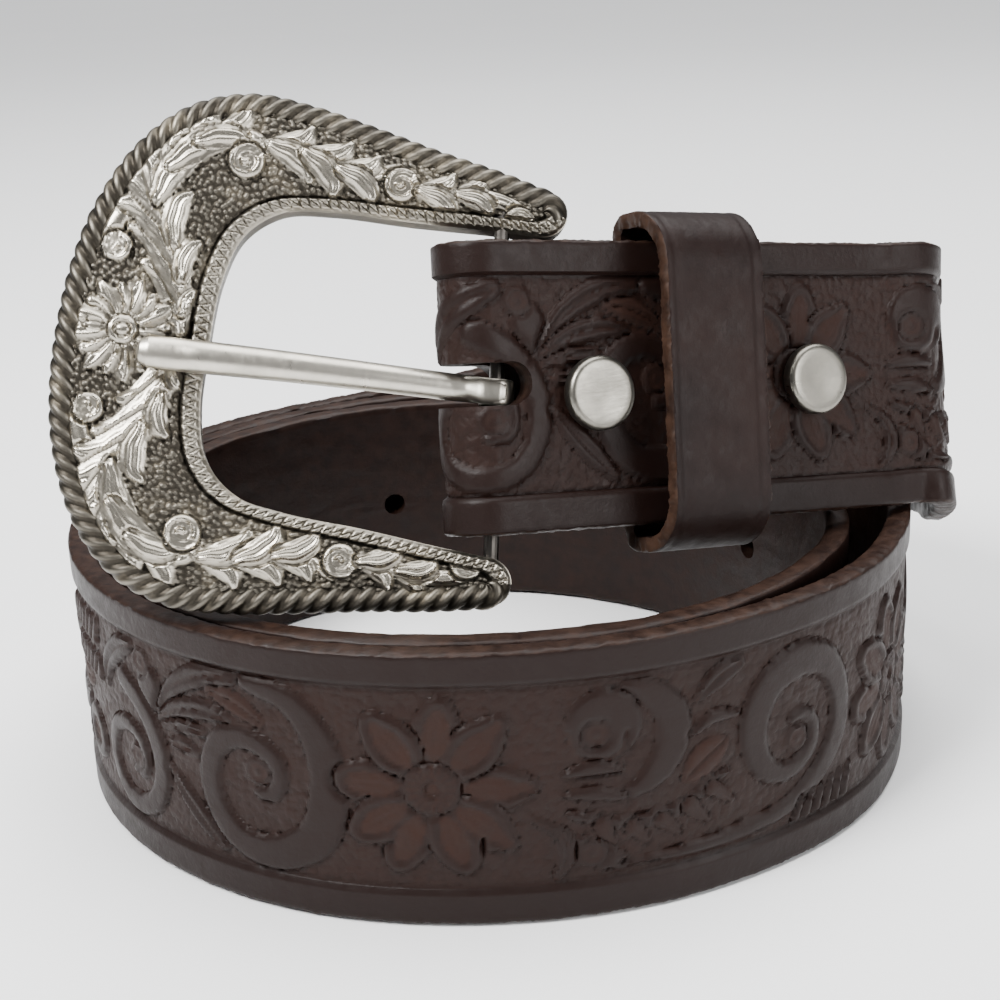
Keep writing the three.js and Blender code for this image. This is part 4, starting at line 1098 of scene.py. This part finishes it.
class BELT_OT_buckle(bpy.types.Operator):
    """Makes the cast buckle frame with its raised work, and the rope edge round it"""
    bl_idname = "belt.buckle"
    bl_label = "Buckle"

    def execute(self, context):
        silver = cast_silver(context.scene.belt_metal)
        inner, outer = arm_lines(640)
        face, level, height = plate_face(inner, outer)
        shade = np.where(height < -0.42, 1.5 * (height + 0.86), 1 + height / 0.75)
        tint = relief_tint(np.clip(shade, 0, 1))
        floor = PLATE_BACK + 0.35
        wall = np.repeat(inner[:, None], 5, 1)
        wall_level = floor + (level[:, :1] - floor) * np.linspace(1, 0, 6)[1:]
        share = np.linspace(0, 1, 12)
        inward = unit(outer - inner)
        chamfer = np.interp(share, [0, 0.08, 0.92, 1], [0.3, 0, 0, -0.6])
        under = inner[:, None] + (outer - inner)[:, None] * share[None, :, None]
        under = under + inward[:, None] * chamfer[None, :, None]
        under_level = np.full(under.shape[:2], PLATE_BACK)
        side = np.repeat((outer - inward * 0.25)[:, None], 3, 1)
        side_level = PLATE_BACK + 0.4 + (level[:, -1:] - PLATE_BACK - 0.4) * np.array([0.15, 0.5, 0.85])
        plane = np.concatenate([face[:, ::-1], wall, under, side, face[:, -1:]], 1)
        depth = np.concatenate([level[:, ::-1], wall_level, under_level, side_level, level[:, -1:]], 1)
        dull = relief_tint(np.full((len(inner), 5 + 12 + 3), 0.55))
        tints = np.concatenate([tint[:, ::-1], dull, tint[:, -1:]], 1)
        points = on_buckle(np.concatenate([plane, depth[..., None]], -1))
        plate = piece_from([grid_mesh(points, tints)], "buckle_plate", silver, "buckle")
        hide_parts("buckle_frame")
        self.rope(silver)
        return {"FINISHED"}

    def rope(self, silver):
        line = rope_line(ROPE_RADIUS, -75)
        run = lengths(line)[-1]
        line = along_line(line, np.linspace(0, run, round(run / 0.3)))
        line = np.column_stack([line, np.full(len(line), PLATE_BACK + PLATE_DEPTH / 2)])

        def lay(length, angle):
            """Height of the twisted strands, from 0 in a groove to 1 on a strand."""
            return np.abs(np.cos((STRAND_LOBES * angle - 2 * math.pi * length / STRAND) / 2)) ** 0.7

        def radius(length, angle):
            ends = 1 - (1 - smooth(0, 2.0, np.minimum(length, run - length))) ** 2
            return ROPE_RADIUS * (0.74 + 0.28 * lay(length, angle)) * np.sqrt(np.clip(ends, 0.05, 1))

        points = tube(on_buckle(line), 36, radius)
        strands = lay(lengths(line)[:, None], np.linspace(0, 2 * math.pi, 37)[None])
        mesh = grid_mesh(points, relief_tint(0.5 * strands ** 2))
        rope = piece_from([mesh], "buckle_rope", silver, "buckle", smooth_angle=80.0)
        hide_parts("buckle_frame")


class BELT_OT_tongue(bpy.types.Operator):
    """Makes the tongue with its ring, and gives the heel bar its finish"""
    bl_idname = "belt.tongue"
    bl_label = "Tongue and heel bar"

    def execute(self, context):
        nickel = satin_metal("satin_nickel", (4.0, 1.0, 1.0), (0.42, 0.395, 0.34), (0.64, 0.6, 0.52))
        reach = np.array([-0.026, -0.022, -0.005, 0.12, 0.3, 0.6, 0.8, 0.9, 0.965, 0.988, 0.998])
        thick = np.array([0.05, 0.55, 0.8, 0.84, 0.86, 0.93, 0.98, 1.0, 0.94, 0.7, 0.1])
        places = np.unique(np.concatenate([np.linspace(reach[0], reach[-1], 160), reach]))
        radius = np.interp(places, reach, thick) * TONGUE_RADIUS
        rest = PLATE_TOP + RELIEF - CLEARANCE + TONGUE_RADIUS * TONGUE_FLAT
        rise = rest * np.sin(math.pi / 2 * np.minimum(1, (places + 0.14) * 1.04))
        rise = np.maximum(rise, HOOD_HEIGHT)
        flat = (1 - 0.16 * smooth(0.82, 0.9, places)) * (0.38 + 0.62 * smooth(0.035, 0.1, places))
        angle = np.linspace(0, 2 * math.pi, 33)
        bar = np.stack([
            np.broadcast_to(-places[:, None] * TONGUE_LENGTH, (len(places), len(angle))),
            radius[:, None] * np.cos(angle),
            rise[:, None] + (radius * flat)[:, None] * TONGUE_FLAT * np.sin(angle),
        ], -1)
        inner = BAR_RADIUS + CLEARANCE
        mid, half = (inner + RING_RADIUS) / 2, (RING_RADIUS - inner) / 2
        around = np.linspace(0, 2 * math.pi, 49)[:, None]
        section = np.linspace(0, 2 * math.pi, 25)
        bulge = mid + half * np.sign(np.cos(section)) * np.abs(np.cos(section)) ** 0.6
        width = RING_WIDTH / 2 * np.sign(np.sin(section)) * np.abs(np.sin(section)) ** 0.4
        ring = np.stack([
            np.cos(around) * bulge, np.broadcast_to(width, (len(around), len(section))),
            np.sin(around) * bulge,
        ], -1)
        bar = grid_mesh(on_buckle(bar @ turned(TONGUE_SKEW, 0, 1).T))
        ring = grid_mesh(on_buckle(ring @ (turned(BAR_SKEW, 0, 1) @ turned(BAR_TILT, 1, 2)).T))
        tongue = piece_from([bar, ring], "tongue_bar", nickel, "tongue")
        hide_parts("buckle_tongue")
        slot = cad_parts["heel_bar"].material_slots[0]
        slot.link = "DATA"
        slot.material = satin_metal("dark_steel", (1.0, 1.0, 6.0), (0.05, 0.045, 0.04), (0.12, 0.11, 0.1))
        return {"FINISHED"}


class BELT_OT_stage(bpy.types.Operator):
    """Sets the floor, the studio light and the camera"""
    bl_idname = "belt.stage"
    bl_label = "Stage"

    def execute(self, context):
        stage = context.scene.belt_stage
        form = bmesh.new()
        bmesh.ops.create_grid(form, x_segments=2, y_segments=2, size=30.0)
        floor = linked("floor", mesh_from(form, "floor"))
        floor.location = (0, 0, -0.0002)
        finish = Finish("floor")
        light, dark = tuple(stage.floor), tuple(0.97 * part for part in stage.floor)
        finish.set(finish.mix(finish.noise(4, 2), light, dark), 0.75)
        floor.data.materials.append(finish.material)
        world = bpy.data.worlds.new("studio")
        context.scene.world = world
        world.use_nodes = True
        background = world.node_tree.nodes["Background"].inputs
        background["Color"].default_value = (0.93, 0.95, 1.0, 1)
        background["Strength"].default_value = 0.3
        for name, place, aim, size, power in (
            ("key_light", (-0.42, -0.35, 0.7), (0, 0, 0.05), 0.35, 14.0),
            ("fill_light", (0.65, -0.55, 0.35), (0, 0, 0.05), 0.4, 5.0),
            ("top_light", (0.1, 0.3, 0.9), (0, 0.1, 0), 0.9, 8.0),
        ):
            lamp = bpy.data.lights.new(name, "AREA")
            lamp.size = size
            lamp.energy = power
            light = linked(name, lamp)
            light.location = place
            light.rotation_euler = (Vector(aim) - Vector(place)).to_track_quat("-Z", "Y").to_euler()
        sun = bpy.data.lights.new("sky_light", "SUN")
        sun.angle = math.radians(60)
        sun.energy = 2.6
        linked("sky_light", sun).rotation_euler = (math.radians(-12), math.radians(8), 0)
        pitch, roll = math.radians(18.858), math.radians(-2.297)
        view = np.array([0, math.cos(pitch), -math.sin(pitch)])
        level = np.array([1.0, 0, 0])
        rise = np.cross(level, view)
        right = math.cos(roll) * level + math.sin(roll) * rise
        up = -math.sin(roll) * level + math.cos(roll) * rise
        camera = bpy.data.cameras.new("camera")
        camera.lens = stage.lens
        camera.sensor_width = 36.0
        camera.clip_start = 0.01
        turn = Matrix(np.stack([right, up, -view], axis=1).tolist()).to_4x4()
        turn.translation = Vector((-2.55, -252.659, 121.843)) * MM
        context.scene.camera = linked("camera", camera)
        context.scene.camera.matrix_world = turn
        return {"FINISHED"}


class BELT_PT_panel(bpy.types.Panel):
    """Lists the belt's pieces and their settings"""
    bl_idname = "BELT_PT_panel"
    bl_label = "Western Belt"
    bl_space_type = "VIEW_3D"
    bl_region_type = "UI"
    bl_category = "Belt"

    def draw(self, context):
        scene = context.scene
        for settings in (scene.belt_leather, scene.belt_metal, scene.belt_stage):
            for name in settings.__annotations__:
                self.layout.prop(settings, name)
        for kind in OPERATORS:
            self.layout.operator(kind.bl_idname)


SETTINGS = {
    "belt_leather": BeltLeatherSettings, "belt_metal": BeltMetalSettings, "belt_stage": BeltStageSettings,
}
OPERATORS = (BELT_OT_stage, BELT_OT_strap, BELT_OT_keeper, BELT_OT_snaps, BELT_OT_buckle, BELT_OT_tongue)


def register():
    for kind in (*SETTINGS.values(), *OPERATORS, BELT_PT_panel):
        bpy.utils.register_class(kind)
    for name, kind in SETTINGS.items():
        setattr(bpy.types.Scene, name, bpy.props.PointerProperty(type=kind))


def unregister():
    for name in SETTINGS:
        delattr(bpy.types.Scene, name)
    for kind in (BELT_PT_panel, *reversed(OPERATORS), *SETTINGS.values()):
        bpy.utils.unregister_class(kind)


def main():
    register()
    bpy.ops.belt.stage()
    bpy.ops.belt.strap()
    bpy.ops.belt.keeper()
    bpy.ops.belt.snaps()
    bpy.ops.belt.buckle()
    bpy.ops.belt.tongue()


if __name__ == "__main__":
    main()
